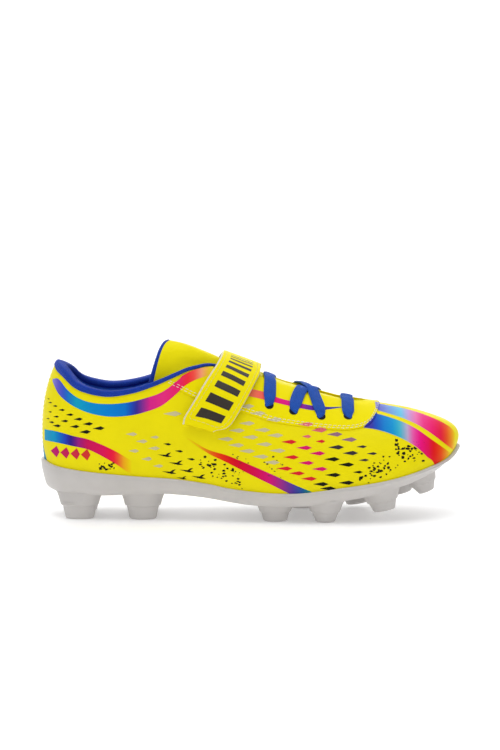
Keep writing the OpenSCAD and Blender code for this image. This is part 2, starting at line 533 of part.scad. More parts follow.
// faces joining the two sides of the plate between neighbouring stations
function strip(a, b, c, d, up) =
    let(f = a == c ? [[a, b, d]] : b == d ? [[a, b, c]] : [[a, b, d], [a, d, c]])
    up ? [for (t = f) [t[2], t[1], t[0]]] : f;

outsole();
insole_board();
sockliner_foam();
sockliner_cover();
vamp();
medial_quarter();
eyestay();
eyestay_backing();
heel_counter();
toe_puff();
collar_foam();
quarter_lining();
vamp_lining();
topline_binding();
tongue_base_skin();
tongue_base_foam();
tongue_base_lining();
tongue_top_skin();
tongue_top_foam();
tongue_top_lining();
strap_anchor();
strap_bridge();
strap_bridge_backing();
strap_tab();
strap_tab_backing();
hook_patch();
loop_patch();
elastic_lace();
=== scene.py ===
import math
import bmesh
import bpy
import numpy as np
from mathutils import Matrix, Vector


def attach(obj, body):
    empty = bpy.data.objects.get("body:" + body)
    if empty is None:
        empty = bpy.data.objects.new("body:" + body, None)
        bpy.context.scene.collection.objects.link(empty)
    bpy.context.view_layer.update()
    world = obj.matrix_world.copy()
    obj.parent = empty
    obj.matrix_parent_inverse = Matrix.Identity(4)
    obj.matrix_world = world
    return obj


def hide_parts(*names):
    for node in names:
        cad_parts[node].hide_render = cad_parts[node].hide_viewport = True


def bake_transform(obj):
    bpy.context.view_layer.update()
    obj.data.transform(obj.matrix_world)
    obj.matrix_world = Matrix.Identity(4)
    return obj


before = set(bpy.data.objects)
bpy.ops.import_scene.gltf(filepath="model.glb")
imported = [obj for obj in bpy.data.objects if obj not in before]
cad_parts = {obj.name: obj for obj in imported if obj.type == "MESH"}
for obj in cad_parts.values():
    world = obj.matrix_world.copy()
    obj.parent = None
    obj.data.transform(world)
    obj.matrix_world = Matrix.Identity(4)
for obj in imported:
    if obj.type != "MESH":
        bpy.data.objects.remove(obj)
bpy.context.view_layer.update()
rng = np.random.default_rng(7)
A, join, even = np.array, np.concatenate, np.linspace

# ---------- the shoe's surface, in millimetres: the same knots as the CAD part ----------
# A place on the upper is (u, v). u runs round the shoe: 0 at the heel, 1 at the toe by way of the lateral
# side, 2 at the heel again by way of the medial side. v runs from the plate (0) up to the crest (1).
UPPER_T = 1.2
FILM_T = 0.75  # eyestay overlay
INK_T = 0.06  # print above the upper
LINING_T = 0.6
COLLAR_PAD = 2.2  # most that the padding swells the collar
DROP = 2.1  # how far the binding reaches down from the edge
ROLL = 2.3  # how far it stands above the edge
TONGUE_W = 22.5  # half the tongue's width
TONGUE_T = 3.8
HOOK_TOP = 3.0  # top of the hook tape above the upper
LACE_W, LACE_T = 6.7, 1.5
PLATE_T, RIM_T = 3, 2
PLATE_IN = 9  # from the plate's outline to its flat middle
THROAT = 0.775  # u of the lace opening's front end
VAMP_END = 1.4  # u where vamp and medial quarter meet
SPAN = 285  # length of one turn of u, roughly
PLAN = A([[-109.2, 0], [-102.5, -15.5], [-86, -24.5], [-60, -27], [-30, -28.5], [0, -33], [30, -36.63],
    [60, -35.63], [86, -28], [104, -13], [110.42, 5], [104, 22], [86, 32], [60, 36.8], [30, 34], [0, 29],
    [-30, 26], [-60, 25.5], [-86, 24], [-102.5, 15.5]])
BOTTOM_Z = [[-108, 17], [-100, 14.2], [-80, 13.4], [-60, 14.2], [-45, 14.6], [-25, 13], [-12, 11], [0, 9.4],
    [15, 9], [30, 9.3], [45, 11.5], [60, 14], [82, 19.5], [95, 24], [104, 28], [110, 32.5]]
RIM_Z = [[-112, 31.5], [-105, 29], [-95, 27.5], [-80, 26], [-60, 24.3], [-40, 23], [-22, 20.6], [-12, 18.6],
    [0, 17.2], [12, 16.4], [25, 16.6], [36, 17.8], [47, 19.4], [60, 21.1], [72, 23], [85, 26], [95, 29],
    [104, 32], [109, 35.5], [112, 39]]
TOP_X = [[0, -98.5], [0.1, -95.5], [0.2, -84], [0.3, -64], [0.4, -38], [0.5, -10], [0.6, 18], [0.7, 45],
    [0.8, 68], [0.9, 84], [1, 90]]
TOP_Y = [[0, 0], [0.1, 13], [0.2, 21], [0.3, 19], [0.35, 9], [0.4, 0], [1, 0]]
TOP_Z = [[-102, 92], [-84, 93], [-63, 95], [-43, 94.6], [-32, 91], [-22, 87.4], [-14, 84.8], [-2.4, 80.4],
    [4, 77.8], [12, 74.3], [18, 72], [24, 70.2], [30, 68.2], [39, 65.4], [46, 63.5], [58.6, 61.2],
    [71.5, 59.3], [84, 57.2], [97, 53.8]]
RIDGE_Y = [[-107, 0], [-40, 0], [-20, 0.4], [0, 2], [60, 4], [110, 5]]
LOW_OUT = [[0, 5], [0.1, 4.8], [0.2, 3.5], [0.4, 2], [0.6, 4], [0.8, 4], [1, 4]]
LOW_UP = [[0, 28], [0.2, 30], [0.3, 34], [0.4, 42], [0.5, 36], [0.6, 28], [0.7, 21], [0.8, 15], [0.9, 11],
    [1, 9.5]]
HIGH_OUT = [[0, 13.5], [0.1, 8], [0.2, 4], [0.3, 9], [0.4, 24], [0.5, 25], [0.7, 25], [0.8, 24], [0.9, 23],
    [1, 22]]
HIGH_DOWN = [[0, 19], [0.2, 25], [0.3, 16], [0.4, 0], [1, 0]]
TOPLINE = [[-104, 81.5], [-99, 78], [-93, 72.7], [-86, 69.8], [-75, 68], [-62, 69.7], [-50, 73.4],
    [-40, 77.5], [-32, 80.6], [-22, 82], [-14, 82]]
MOUTH = [[-24, 15.8], [-14, 14.8], [5, 13], [26, 11], [46, 9.5], [54, 8], [59, 5], [62, 0], [80, 0]]
SEAM = [[-47, 74.8], [-35, 68.3], [-26.5, 64.6], [-5.4, 58.7], [11.5, 53.4], [23.6, 51.3], [38, 49.6],
    [48, 48.8], [54, 49], [59, 49.9], [64, 52.5], [68, 58], [70, 62]]
PAD_H = [[-4, 0.6], [0, 0.7], [4, 0.9], [10, 1], [17, 0.6], [23, 0], [60, 0]]
PAD_L = [[0, 1], [0.3, 0.9], [0.44, 0.1], [0.5, 0], [1, 0]]
UNDER_IN = [[0, 3.2], [0.1, 3.2], [0.2, 3], [0.5, 2], [0.8, 3], [1, 4.5]]
UNDER_DROP = [[-109.2, 3], [-103, 1.6], [-95, 0.4], [-88, 0], [112, 0]]
REAR_T = [[0.25, 0.368], [0.4, 0.403], [0.6, 0.436], [0.8, 0.464], [1, 0.482]]
FRONT_T = [[0.25, 0.45], [0.4, 0.478], [0.6, 0.51], [0.8, 0.535], [1, 0.549]]
REAR_V = [[0, 1], [0.25, 0.85], [0.5, 0.68], [0.75, 0.49], [1, 0.3]]
FRONT_V = [[0, 1], [0.25, 0.8], [0.5, 0.6], [0.75, 0.43], [1, 0.285]]
LACE_AT = [(0.5445, 61.5), (0.589, 58.2), (0.639, 55.4), (0.691, 54.8)]
# for each stud: x, y, height of its end, tilt in degrees, its height, half sizes at its root and at its end
STUDS = [[-91, -14.5, 0, 0, 15, 12.3, 9, 7.7, 5], [-91, 14.5, 0, 0, 15, 12.3, 9, 7.7, 5],
    [-57.3, -16, 0, 0, 15, 11.7, 8.5, 7.3, 5], [-57.3, 16, 0, 0, 15, 11.7, 8.5, 7.3, 5],
    [13, -23.5, 0, 0, 10.2, 10.2, 8, 6.5, 5], [39.5, -27, 0, 0, 11.2, 9.7, 8, 5.4, 4.6],
    [71, -23.5, 5.6, 12, 11, 10.2, 7.5, 6, 4.6], [94.2, -9, 13.6, 22, 10, 8.8, 6.8, 4.6, 4],
    [28, 24, 0, 0, 10.4, 10, 8, 6.6, 5], [58.5, 26, 2, 9, 12, 9.7, 7.8, 6.2, 4.8],
    [83, 20, 8.6, 17, 11.5, 9.4, 7.2, 5.4, 4.4]]


def unit(a):
    return a / np.maximum(np.linalg.norm(a, axis=-1, keepdims=True), 1e-12)


def mix(a, b, k):
    return a * (1 - k) + b * k


def curve(knots, x, e=1.0):
    """Smooth curve through (x, y) knots, held beyond them. e scales the slope at its ends."""
    k = A(knots, float)
    X, Y = k[:, 0], k[:, 1]
    m = np.empty(len(k))
    m[1:-1] = (Y[2:] - Y[:-2]) / (X[2:] - X[:-2])
    m[0] = e * (Y[1] - Y[0]) / (X[1] - X[0])
    m[-1] = e * (Y[-1] - Y[-2]) / (X[-1] - X[-2])
    x = np.clip(x, X[0], X[-1])
    i = np.clip(np.searchsorted(X, x, "right") - 1, 0, len(X) - 2)
    h = X[i + 1] - X[i]
    u = (x - X[i]) / h
    u2, u3 = u * u, u * u * u
    slope = h * (m[i] * (u3 - 2 * u2 + u) + m[i + 1] * (u3 - u2))
    return Y[i] * (2 * u3 - 3 * u2 + 1) + Y[i + 1] * (3 * u2 - 2 * u3) + slope


def smooth(a, b, x):
    u = np.clip((x - a) / (b - a), 0, 1)
    return u * u * (3 - 2 * u)


def through(a, b, c, d, u):
    """Between b and c, on a smooth curve through four points."""
    bend, twist = 2 * a - 5 * b + 4 * c - d, 3 * b - a - 3 * c + d
    return 0.5 * (2 * b + (c - a) * u + bend * u ** 2 + twist * u ** 3)


def ring(j):
    """Point on the plate's outline, whose knots are numbered from the heel by way of the lateral side."""
    j = np.asarray(j, float)
    i = np.floor(j).astype(int)
    u = (j - i)[..., None]
    return through(*(PLAN[(i + s) % 20] for s in (-1, 0, 1, 2)), u)


def ring_out(j):
    """Direction out of the outline."""
    d = unit(ring(j + 0.01) - ring(j - 0.01))
    return np.stack([d[..., 1], -d[..., 0]], -1)


def fold(u):
    """The same place on the lateral side."""
    return np.where(u <= 1, u, 2 - u)


def rib(u0):
    """The four points of the Bezier curve that runs up the upper at u."""
    u = np.mod(np.asarray(u0, float), 2)
    side, t = np.where(u <= 1, -1.0, 1.0), fold(u)
    b, o, x = ring(10 * u), ring_out(10 * u), curve(TOP_X, t, 0)
    s = curve(TOP_Z, x + 0.5) - curve(TOP_Z, x - 0.5)
    q = np.stack([x, curve(RIDGE_Y, x) + side * np.maximum(0, curve(TOP_Y, t))], -1)
    d, h, l = unit(b - q), curve(HIGH_OUT, t, 0), curve(LOW_OUT, t, 0)
    p0 = join([b, (curve(BOTTOM_Z, b[..., 0]) + 3.6)[..., None]], -1)
    p3 = join([q, curve(TOP_Z, x)[..., None]], -1)
    p1 = p0 + join([o * l[..., None], curve(LOW_UP, t, 0)[..., None]], -1)
    rise = d[..., 0] * s * h * np.minimum(1, h / 10) - curve(HIGH_DOWN, t, 0)
    p2 = p3 + join([d * h[..., None], rise[..., None]], -1)
    return p0, p1, p2, p3


def bez(r, v):
    v = np.asarray(v, float)[..., None]
    w = 1 - v
    return r[0] * w ** 3 + 3 * r[1] * v * w * w + 3 * r[2] * v * v * w + r[3] * v ** 3


def facing(u, v):
    """Direction out of the upper."""
    w, r = np.minimum(v, 0.985), rib(u)
    return unit(np.cross(bez(rib(u + 0.004), w) - bez(rib(u - 0.004), w),
        bez(r, w + 0.01) - bez(r, w - 0.01)))


def surf(u, v):
    u, v = np.broadcast_arrays(np.asarray(u, float), np.asarray(v, float))
    n = facing(u, v)
    n = np.where((v > 0.999)[..., None], unit(n + facing(2 - u, v)), n)
    return bez(rib(u), v), n


def at(u, v, off):
    """Point at a distance off outside the upper's surface."""
    p, n = surf(u, v)
    return p + n * np.broadcast_to(off, p.shape[:-1])[..., None]


def find(u, g):
    """Height v on each rib above which g is positive."""
    u = np.asarray(u, float)
    r, lo, hi = rib(u), np.zeros(u.shape), np.ones(u.shape)
    for _ in range(15):
        m = (lo + hi) / 2
        up = g(bez(r, m)) > 0
        hi, lo = np.where(up, m, hi), np.where(up, lo, m)
    return (lo + hi) / 2


def snap(v):
    return np.where(v > 0.996, 1.0, v)


def wide(p):
    """Distance from the crest line."""
    return np.abs(p[..., 1] - curve(RIDGE_Y, p[..., 0]))


def above_v(u, line, h=0.0):
    """Height v at h millimetres over a line of (x, z) knots."""
    return find(u, lambda p: p[..., 2] - curve(line, p[..., 0]) - h)


def depth_v(u, h):
    return above_v(u, TOPLINE, -h)


def edge_v(u):
    """The upper's edge: the topline at the collar, then the side of the lace opening."""
    k = smooth(0.415, 0.465, fold(u))
    mouth = snap(find(u, lambda p: curve(MOUTH, p[..., 0]) - wide(p) - 0.001))
    return mix(depth_v(u, 0), mouth, k)


def seam_v(u):
    return snap(above_v(u, SEAM))


def floor_v(u, h):
    return above_v(u, BOTTOM_Z, PLATE_T + h)


def level_v(u, z):
    return find(u, lambda p: p[..., 2] - z)


def start_t(x):
    return 0.54 + x / SPAN


def spot(x, w, side):
    """Where the upper is at length x and distance w from the crest line."""
    x, w, side = np.broadcast_arrays(*(np.asarray(k, float) for k in (x, w, side)))
    t, rounds = start_t(x), 9
    for k in range(rounds):
        u = np.where(side < 0, t, 2 - t)
        v = np.where(w < 0.02, 1.0, snap(find(u, lambda p: w - wide(p))))
        if k < rounds - 1:
            t = np.clip(t + (x - bez(rib(u), v)[..., 0]) / SPAN, 0.3, 0.999)
    return u, v


def place(x, z, side):
    """Where the upper is at length x and height z."""
    x, z = A(x, float), A(z, float)
    t = np.clip(start_t(x), 0.02, 0.95)
    for _ in range(10):
        u = t if side < 0 else 2 - t
        v = level_v(u, z)
        t = np.clip(t + (x - bez(rib(u), v)[..., 0]) / 260, 0.001, 0.999)
    u = t if side < 0 else 2 - t
    return u, level_v(u, z)


def pad(u, v):
    """How far the padding swells the inside of the collar."""
    p = bez(rib(u), v)
    return COLLAR_PAD * curve(PAD_L, fold(u), 0) * curve(PAD_H, curve(TOPLINE, p[..., 0]) - p[..., 2])


# ---------- meshes ----------
def flip(faces):
    return [f[::-1] for f in faces]


def circle(n):
    return np.linspace(0, 2 * np.pi, n, endpoint=False)


def put(name, data):
    o = bpy.data.objects.new(name, data)
    bpy.context.collection.objects.link(o)
    return o


class Build:
    """Points in millimetres with their faces, from which done() makes one object."""

    def __init__(self):
        self.v, self.uv, self.c, self.f, self.m, self.n = [], [], [], [], [], 0

    def add(self, p, faces, mat=0, uv=None, col=None):
        p = np.asarray(p, float).reshape(-1, 3)
        self.v.append(p)
        self.uv.append(np.zeros((len(p), 2)) if uv is None else np.asarray(uv, float).reshape(-1, 2))
        col = np.ones((1, 3)) if col is None else np.asarray(col, float).reshape(-1, 3)
        self.c.append(np.broadcast_to(col, (len(p), 3)))
        self.f += [tuple(int(i) + self.n for i in f) for f in faces]
        self.m += [mat] * len(faces)
        self.n += len(p)
        return self

    def done(self, name, mats, body, slot=None, replaces=(), sharp=50, recalc=False):
        """Makes the object, smooth but for edges over sharp degrees, and gives it its body."""
        me = bpy.data.meshes.new(name)
        me.from_pydata((join(self.v) * 0.001).tolist(), [], self.f)
        me.polygons.foreach_set("material_index", self.m)
        for m in mats:
            me.materials.append(m)
        loops = np.empty(len(me.loops), int)
        me.loops.foreach_get("vertex_index", loops)
        me.uv_layers.new(name="mm").data.foreach_set("uv", join(self.uv)[loops].ravel())
        c = join(self.c)
        me.color_attributes.new("ink", "FLOAT_COLOR", "POINT").data.foreach_set("color",
            np.hstack([c, np.ones((len(c), 1))]).ravel())
        if recalc:
            bm = bmesh.new()
            bm.from_mesh(me)
            bmesh.ops.recalc_face_normals(bm, faces=bm.faces)
            bm.to_mesh(me)
            bm.free()
        me.shade_smooth()
        me.set_sharp_from_angle(angle=math.radians(sharp))
        o = put(name, me)
        if body:
            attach(o, body)
        if replaces:
            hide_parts(*replaces)
        return o


def quads(n, m, loop_n=False, loop_m=False):
    """Faces of an n by m net, closed on itself either way."""
    out = []
    for i in range(n if loop_n else n - 1):
        for j in range(m if loop_m else m - 1):
            i2, j2 = (i + 1) % n, (j + 1) % m
            out.append((i * m + j, i * m + j2, i2 * m + j2, i2 * m + j))
    return out


def caps(n, m):
    """Faces that close the two ends of n rings of m points."""
    return [tuple(range(m)), tuple(range((n - 1) * m, n * m))[::-1]]


def run(p):
    """Length along a path up to each of its points."""
    return join([[0], np.cumsum(np.linalg.norm(np.diff(p, axis=0), axis=-1))])


def lengths(p):
    """Rough millimetre coordinates along both ways of a net."""
    a = join([np.zeros((1, p.shape[1])), np.cumsum(np.linalg.norm(np.diff(p, axis=0), axis=-1), 0)])
    b = join([np.zeros((p.shape[0], 1)), np.cumsum(np.linalg.norm(np.diff(p, axis=1), axis=-1), 1)], 1)
    return np.stack([np.broadcast_to(a.mean(1)[:, None], b.shape), b], -1)


def sheet_net(b, outer, inner, r=0.3, mat=0, open_rows=()):
    """Closed sheet between two nets: coinciding outer points are joined, and free edges are rounded by r."""
    n, m = outer.shape[:2]
    flat = outer.reshape(-1, 3)
    _, first, back = np.unique(np.round(flat, 4), axis=0, return_index=True, return_inverse=True)
    back = back.ravel()
    faces, count = [], {}
    for f in quads(n, m):
        g = []
        for i in f:
            k = int(back[i])
            if not g or (k != g[-1] and k != g[0]):
                g.append(k)
        if len(g) >= 3:
            faces.append(tuple(g))
            for a, c in zip(g, g[1:] + g[:1]):
                count[(min(a, c), max(a, c))] = count.get((min(a, c), max(a, c)), 0) + 1
    o, i = flat[first], inner.reshape(-1, 3)[first]
    uv = lengths(outer).reshape(-1, 2)[first]
    rim = np.zeros(len(o), bool)
    opened = set()
    for row in open_rows:
        opened |= {int(back[k]) for k in range(row % n * m, row % n * m + m)}
    walls = []
    for f in faces:
        for a, c in zip(f, f[1:] + f[:1]):
            if count[(min(a, c), max(a, c))] == 1 and not (a in opened and c in opened):
                rim[[a, c]] = True
                walls.append((c, a, a + len(o), c + len(o)))
    t = np.linalg.norm(o - i, axis=-1, keepdims=True)
    d = (i - o) / np.maximum(t, 1e-9)
    k = np.minimum(r, 0.42 * t) * rim[:, None]
    ins = [tuple(x + len(o) for x in f[::-1]) for f in faces]
    b.add(np.vstack([o + d * k, i - d * k]), faces + walls + ins, mat, np.vstack([uv, uv]))
    return b


def ends(a, b, n, e=0.006):
    """n even steps from a to b with a close extra step inside each end."""
    k = np.linspace(0, 1, n)
    return a + (b - a) * join([[0, e * 0.5, e], k[1:-1], [1 - e, 1 - e * 0.5, 1]])


def layer(u, v, outer, inner, r=0.3):
    """Closed sheet between two distances from the upper's surface."""
    return sheet_net(Build(), at(u, v, outer), at(u, v, inner), r)


def shell(us, lo, hi, m, outer, inner, r=0.3):
    """Layer over the ribs us, from height lo to height hi on each."""
    k = ends(0, 1, m)
    u, v = us[:, None] + 0 * k, mix(lo[:, None], hi[:, None], k)
    outer, inner = (o(u, v) if callable(o) else o for o in (outer, inner))
    return layer(u, v, outer, inner, r)


def patch(corners, n, m):
    """Even n by m net over a four-cornered area."""
    c = A(corners, float)
    k, j = np.meshgrid(even(0, 1, n), even(0, 1, m), indexing="ij")
    k, j = k[..., None], j[..., None]
    return mix(mix(c[0], c[1], k), mix(c[3], c[2], k), j)


def tube(path, n_dir, radii, sides, closed=False):
    """Sweep of a rounded oblong: radii (sideways, along n_dir) for each path point."""
    path, n_dir, power = np.asarray(path, float), np.asarray(n_dir, float), 2.4
    along = unit(np.roll(path, -1, 0) - np.roll(path, 1, 0) if closed else np.gradient(path, axis=0))
    side = unit(np.cross(along, n_dir))
    up = unit(np.cross(side, along))
    a = circle(sides)
    cx, cy = (np.sign(c) * np.abs(c) ** (2 / power) for c in (np.cos(a), np.sin(a)))
    p = path[:, None] + side[:, None] * (radii[:, :1] * cx)[..., None]
    p = p + up[:, None] * (radii[:, 1:] * cy)[..., None]
    uv = np.stack(np.broadcast_arrays(run(path)[:, None], radii[:, :1] * cx), -1)
    f = flip(quads(len(path), sides, closed, True))
    return Build().add(p, f if closed else f + caps(len(path), sides), 0, uv)


def resample(p, n, step, start):
    """Even steps along a path p with normals n."""
    s = run(p)
    k = np.arange(start, s[-1] - 1e-6, step)
    p, n = (np.stack([np.interp(k, s, q[:, i]) for i in range(3)], -1) for q in (p, n))
    return p, unit(n)


def stitches(b, p, n, mat, long, gap, r):
    """A row of sewn stitches lying along a line on a surface."""
    mid, up = resample(p, n, long + gap, (long + gap) / 2)
    if len(mid) < 2:
        return
    along = unit(np.gradient(mid, axis=0))
    side = unit(np.cross(up, along))
    # steps along one stitch: place in its length, then radius and height in radii
    prof = [(-0.5, 0.25, -0.9), (-0.47, 0.75, -0.2), (-0.3, 1, 0.5), (0, 1.05, 0.75), (0.3, 1, 0.5),
        (0.47, 0.75, -0.2), (0.5, 0.25, -0.9)]
    ca, sa = np.cos(circle(6))[:, None], np.sin(circle(6))[:, None]
    faces, lift, slant = flip(quads(7, 6, False, True)) + caps(7, 6), 0.02, 0.05
    for c, d, s, h in zip(mid, along, side, up):
        d = unit(d + s * slant)
        rows = [c + d * (x * long) + h * (lift + r * z) + r * w * (ca * s + sa * h) for x, w, z in prof]
        b.add(join(rows), faces, mat)


# ---------- materials ----------
def lin(rgb):
    return (A(rgb, float) / 255) ** 2.2


def material(name, rgb, rough=0.5, bumps=(), vary=0.05, vary_scale=0.15, ink=False, uv=False, sheen=0.0,
             second=None, second_kind=None, spec=0.5, sss=0.0):
    """Procedural finish. Texture scales are in cycles per millimetre, bump heights in millimetres."""
    m = bpy.data.materials.new(name)
    m.use_nodes = True
    tree = m.node_tree
    rough_vary, twist, depth = 0.06, 0.6, 0.003

    def fill(inputs, values):
        """Gives each input its value, or links it to another node's output."""
        for key, value in values.items():
            if isinstance(value, bpy.types.NodeSocket):
                tree.links.new(value, inputs[key])
            else:
                inputs[key].default_value = value

    def node(kind, values, **attributes):
        n = tree.nodes.new("ShaderNode" + kind)
        for key, value in attributes.items():
            setattr(n, key, value)
        fill(n.inputs, values)
        return n.outputs

    def calc(operation, *values):
        return node("Math", dict(enumerate(values)), operation=operation)[0]

    def wave(scale, way):
        return node("TexWave", {"Vector": mm, "Scale": scale, "Distortion": twist},
            bands_direction=way)["Fac"]

    def tex(kind, scale):
        if kind == "rib":
            return wave(scale, "X")
        if kind == "weave":
            return calc("MULTIPLY", wave(scale, "X"), wave(scale, "Y"))
        if kind == "chevron":
            part = node("SeparateXYZ", {0: mm})
            slant = calc("MULTIPLY_ADD", calc("ABSOLUTE", part["Y"]), 0.8, part["X"])
            return calc("SINE", calc("MULTIPLY", slant, scale * 6.283))
        if kind == "cells":
            return node("TexVoronoi", {"Vector": mm, "Scale": scale})["Distance"]
        return node("TexNoise", {"Vector": mm, "Scale": scale, "Detail": 4})["Fac"]

    size = 1.0 if uv else 1000.0
    where = node("TexCoord", {})["UV" if uv else "Object"]
    mm = node("Mapping", {"Vector": where, "Scale": (size, size, size)})[0]
    if ink:
        base = node("Attribute", {}, attribute_name="ink")["Color"]
    elif second is not None:
        kind, scale, low, high = second_kind
        fac = node("MapRange", {"From Min": low, "From Max": high, "Value": tex(kind, scale)})[0]
        two = {"Factor": fac, "A": (*lin(rgb), 1), "B": (*lin(second), 1)}
        base = node("Mix", two, data_type="RGBA")["Result"]
    else:
        base = lin(rgb)
    shade = node("MapRange", {"From Min": 0.3, "From Max": 0.7, "To Min": 1 - vary, "To Max": 1 + vary,
        "Value": tex("noise", vary_scale)})[0]
    gloss = {"To Min": rough - rough_vary, "To Max": rough + rough_vary, "Value": tex("noise", 0.5)}
    surface = {"Base Color": node("VectorMath", {0: base, "Scale": shade}, operation="SCALE")[0],
        "Roughness": node("MapRange", gloss)[0], "Sheen Weight": sheen, "Specular IOR Level": spec,
        "Subsurface Weight": sss, "Subsurface Radius": (depth, depth, depth)}
    for kind, scale, height in bumps:
        bump = {"Strength": 1, "Distance": height * 0.001, "Height": tex(kind, scale)}
        if "Normal" in surface:
            bump["Normal"] = surface["Normal"]
        surface["Normal"] = node("Bump", bump)[0]
    fill(tree.nodes["Principled BSDF"].inputs, surface)
    return m


GRAIN = (("cells", 1.3, 0.03), ("noise", 0.35, 0.10))
m_upper = material("upper_film", (244, 229, 0), 0.5, GRAIN, 0.025, 0.06, spec=0.12)
# this ink finish also carries the painted shade discs of the lace holes
m_ink_and_hole_shade = material("print_ink_and_hole_shade", (255, 255, 255), 0.5, GRAIN, 0.025, 0.06, ink=True, spec=0.12)
m_film = material("eyestay_skin", (246, 230, 0), 0.58, (("cells", 1.6, 0.02), ("noise", 0.3, 0.08)), 0.02,
    0.08, spec=0.06)
m_strap = material("strap_skin", (246, 230, 0), 0.52, (("cells", 1.5, 0.02), ("noise", 0.25, 0.12)), 0.025,
    0.1, uv=True, spec=0.08)
m_strap_ink = material("strap_ink", (50, 42, 34), 0.4, (("cells", 1.5, 0.02),), 0.08, 0.4, uv=True)
m_back = material("strap_back", (236, 232, 214), 0.8, (("weave", 0.9, 0.06),), 0.05, 0.4, uv=True)
m_thread = material("thread_white", (238, 236, 214), 0.6, (("noise", 4, 0.04),), 0.05, 0.6)
m_thread_y = material("thread_yellow", (228, 220, 130), 0.6, (("noise", 4, 0.04),), 0.05, 0.6)
m_tongue = material("tongue_skin", (246, 231, 0), 0.5, (("cells", 1.0, 0.05), ("noise", 0.15, 0.35)), 0.03,
    0.08, uv=True, spec=0.1)
m_bind = material("binding_knit", (16, 56, 165), 0.75, (("rib", 0.9, 0.10), ("noise", 2.2, 0.06)), 0.10,
    0.3, uv=True, sheen=0.08, spec=0.2, second=(50, 100, 200), second_kind=("noise", 2.4, 0.5, 0.75))
m_lining = material("lining_mesh", (60, 120, 235), 0.85, (("weave", 0.5, 0.25), ("noise", 2, 0.08)), 0.10,
    0.25, uv=True, sheen=0.1, spec=0.2, second=(130, 180, 250), second_kind=("weave", 0.5, 0.35, 0.9))
m_lace = material("lace_knit", (22, 80, 195), 0.7,
    (("chevron", 1.2, 0.12), ("rib", 1.1, 0.12), ("noise", 3, 0.08)), 0.10, 0.3, uv=True, sheen=0.08,
    spec=0.2, second=(44, 112, 215), second_kind=("chevron", 1.2, -0.3, 1.0))
m_sole = material("sole_plastic", (200, 196, 193), 0.42, (("noise", 0.5, 0.03), ("noise", 2.5, 0.008)),
    0.03, 0.08, spec=0.5, sss=0.1)
m_foam = material("foam", (235, 226, 170), 0.9, (("cells", 1.5, 0.10),), 0.05, 0.3)
m_board = material("board", (205, 182, 140), 0.85, (("noise", 1.2, 0.05),), 0.08, 0.3)
m_stiff = material("stiffener", (92, 92, 96), 0.7, (("noise", 1.5, 0.04),), 0.06, 0.3)
m_backing = material("backing", (214, 206, 150), 0.8, (("weave", 0.8, 0.05),), 0.05, 0.3)
m_sock = material("sock_fabric", (44, 92, 205), 0.85, (("weave", 0.8, 0.12), ("noise", 2, 0.05)), 0.08, 0.3,
    sheen=0.2, second=(60, 105, 200), second_kind=("cells", 0.9, 0.1, 0.6))
m_hook = material("hook_tape", (196, 198, 196), 0.6, (("weave", 1.1, 0.5),), 0.06, 0.4, uv=True)
m_loop = material("loop_tape", (232, 222, 168), 0.95, (("noise", 1.8, 0.5), ("noise", 5, 0.2)), 0.10, 0.8,
    uv=True, sheen=0.4)

# ---------- upper ----------
front = even(THROAT, 1, 55)
# close steps at both ends, for a crisp edge
us = join([[0.0, 0.0008, 0.0016], even(0.005, THROAT - 0.004, 190), front, 2 - front[::-1][1:],
    even(2 - THROAT + 0.004, 1.397, 46), [1.3984, 1.3992, VAMP_END]])
top = np.where(fold(us) >= THROAT - 1e-6, 1.0, edge_v(us))
shell(us, us * 0, top, 74, 0, -UPPER_T).done("upper_vamp", [m_upper], "shoe", "printed_upper", ["vamp"])
us = join([[1.4005, 1.4013, 1.402], even(1.406, 1.994, 150), [1.9982, 1.999, 1.9997]])
shell(us, us * 0, edge_v(us), 74, 0, -UPPER_T).done("upper_medial_quarter", [m_upper], "shoe",
    "printed_upper", ["medial_quarter"])


def foot_t(t):
    """Carries the foot of the eyestay's ribs forward where it rounds the throat."""
    return t + 0.025 * np.maximum(0, (t - 0.7) / 0.075)


def stay_net(grow):
    """Net of the U-shaped eyestay: lateral arm, toe end, medial arm."""
    t = join([[0.375, 0.3755, 0.376], even(0.379, 0.772, 120)])
    foot = foot_t(t)
    lo = np.minimum(seam_v(foot) + grow, 0.9995)
    hi = edge_v(t) - np.where(t < 0.5, 0.045 * (1 - smooth(0.47, 0.5, t)) + 0.003, 0.003)
    k = ends(0, 1, 26, 0.02)
    hi = np.maximum(hi, lo + 0.01)
    u, v = mix(foot[:, None], t[:, None], k), mix(lo[:, None], hi[:, None], k)
    tip = mix(0.803, THROAT + 0.004, k)[None]
    return join([u, tip, 2 - u[::-1]]), join([v, 0 * tip + 1, v[::-1]])


layer(*stay_net(0), FILM_T, 0.02, 0.35).done("eyestay_overlay", [m_film], "shoe", "eyestay_film",
    ["eyestay"])
layer(*stay_net(0.03), -UPPER_T - 0.3, -UPPER_T - 1, 0.1).done("eyestay_reinforcement", [m_backing], "shoe",
    "backing", ["eyestay_backing"])

us = even(-0.25, 0.25, 120)
shell(us, floor_v(us, 1.8), depth_v(us, 24), 24, -1.5, -2.5).done("heel_stiffener", [m_stiff], "shoe",
    "stiffener", ["heel_counter"])
us = even(0.87, 1.13, 61)
shell(us, floor_v(us, 1.8), us * 0 + 1, 30, -1.5, -2.3).done("toe_stiffener", [m_stiff], "shoe",
    "stiffener", ["toe_puff"])
us = even(-0.4, 0.4, 160)
b = shell(us, depth_v(us, 23), depth_v(us, 1.5), 24, -1.5, lambda u, v: -2.4 - pad(u, v), 0.8)
b.done("collar_padding", [m_foam], "shoe", "foam", ["collar_foam"])


def puffed(u, v):
    """Face of the collar lining: it follows the padding, with soft waves."""
    waves = 0.25 * np.sin(u * 60) * np.sin(v * 23 + 2 * np.sin(u * 17)) * curve(PAD_L, fold(u), 0)
    return -2.7 - pad(u, v) + waves


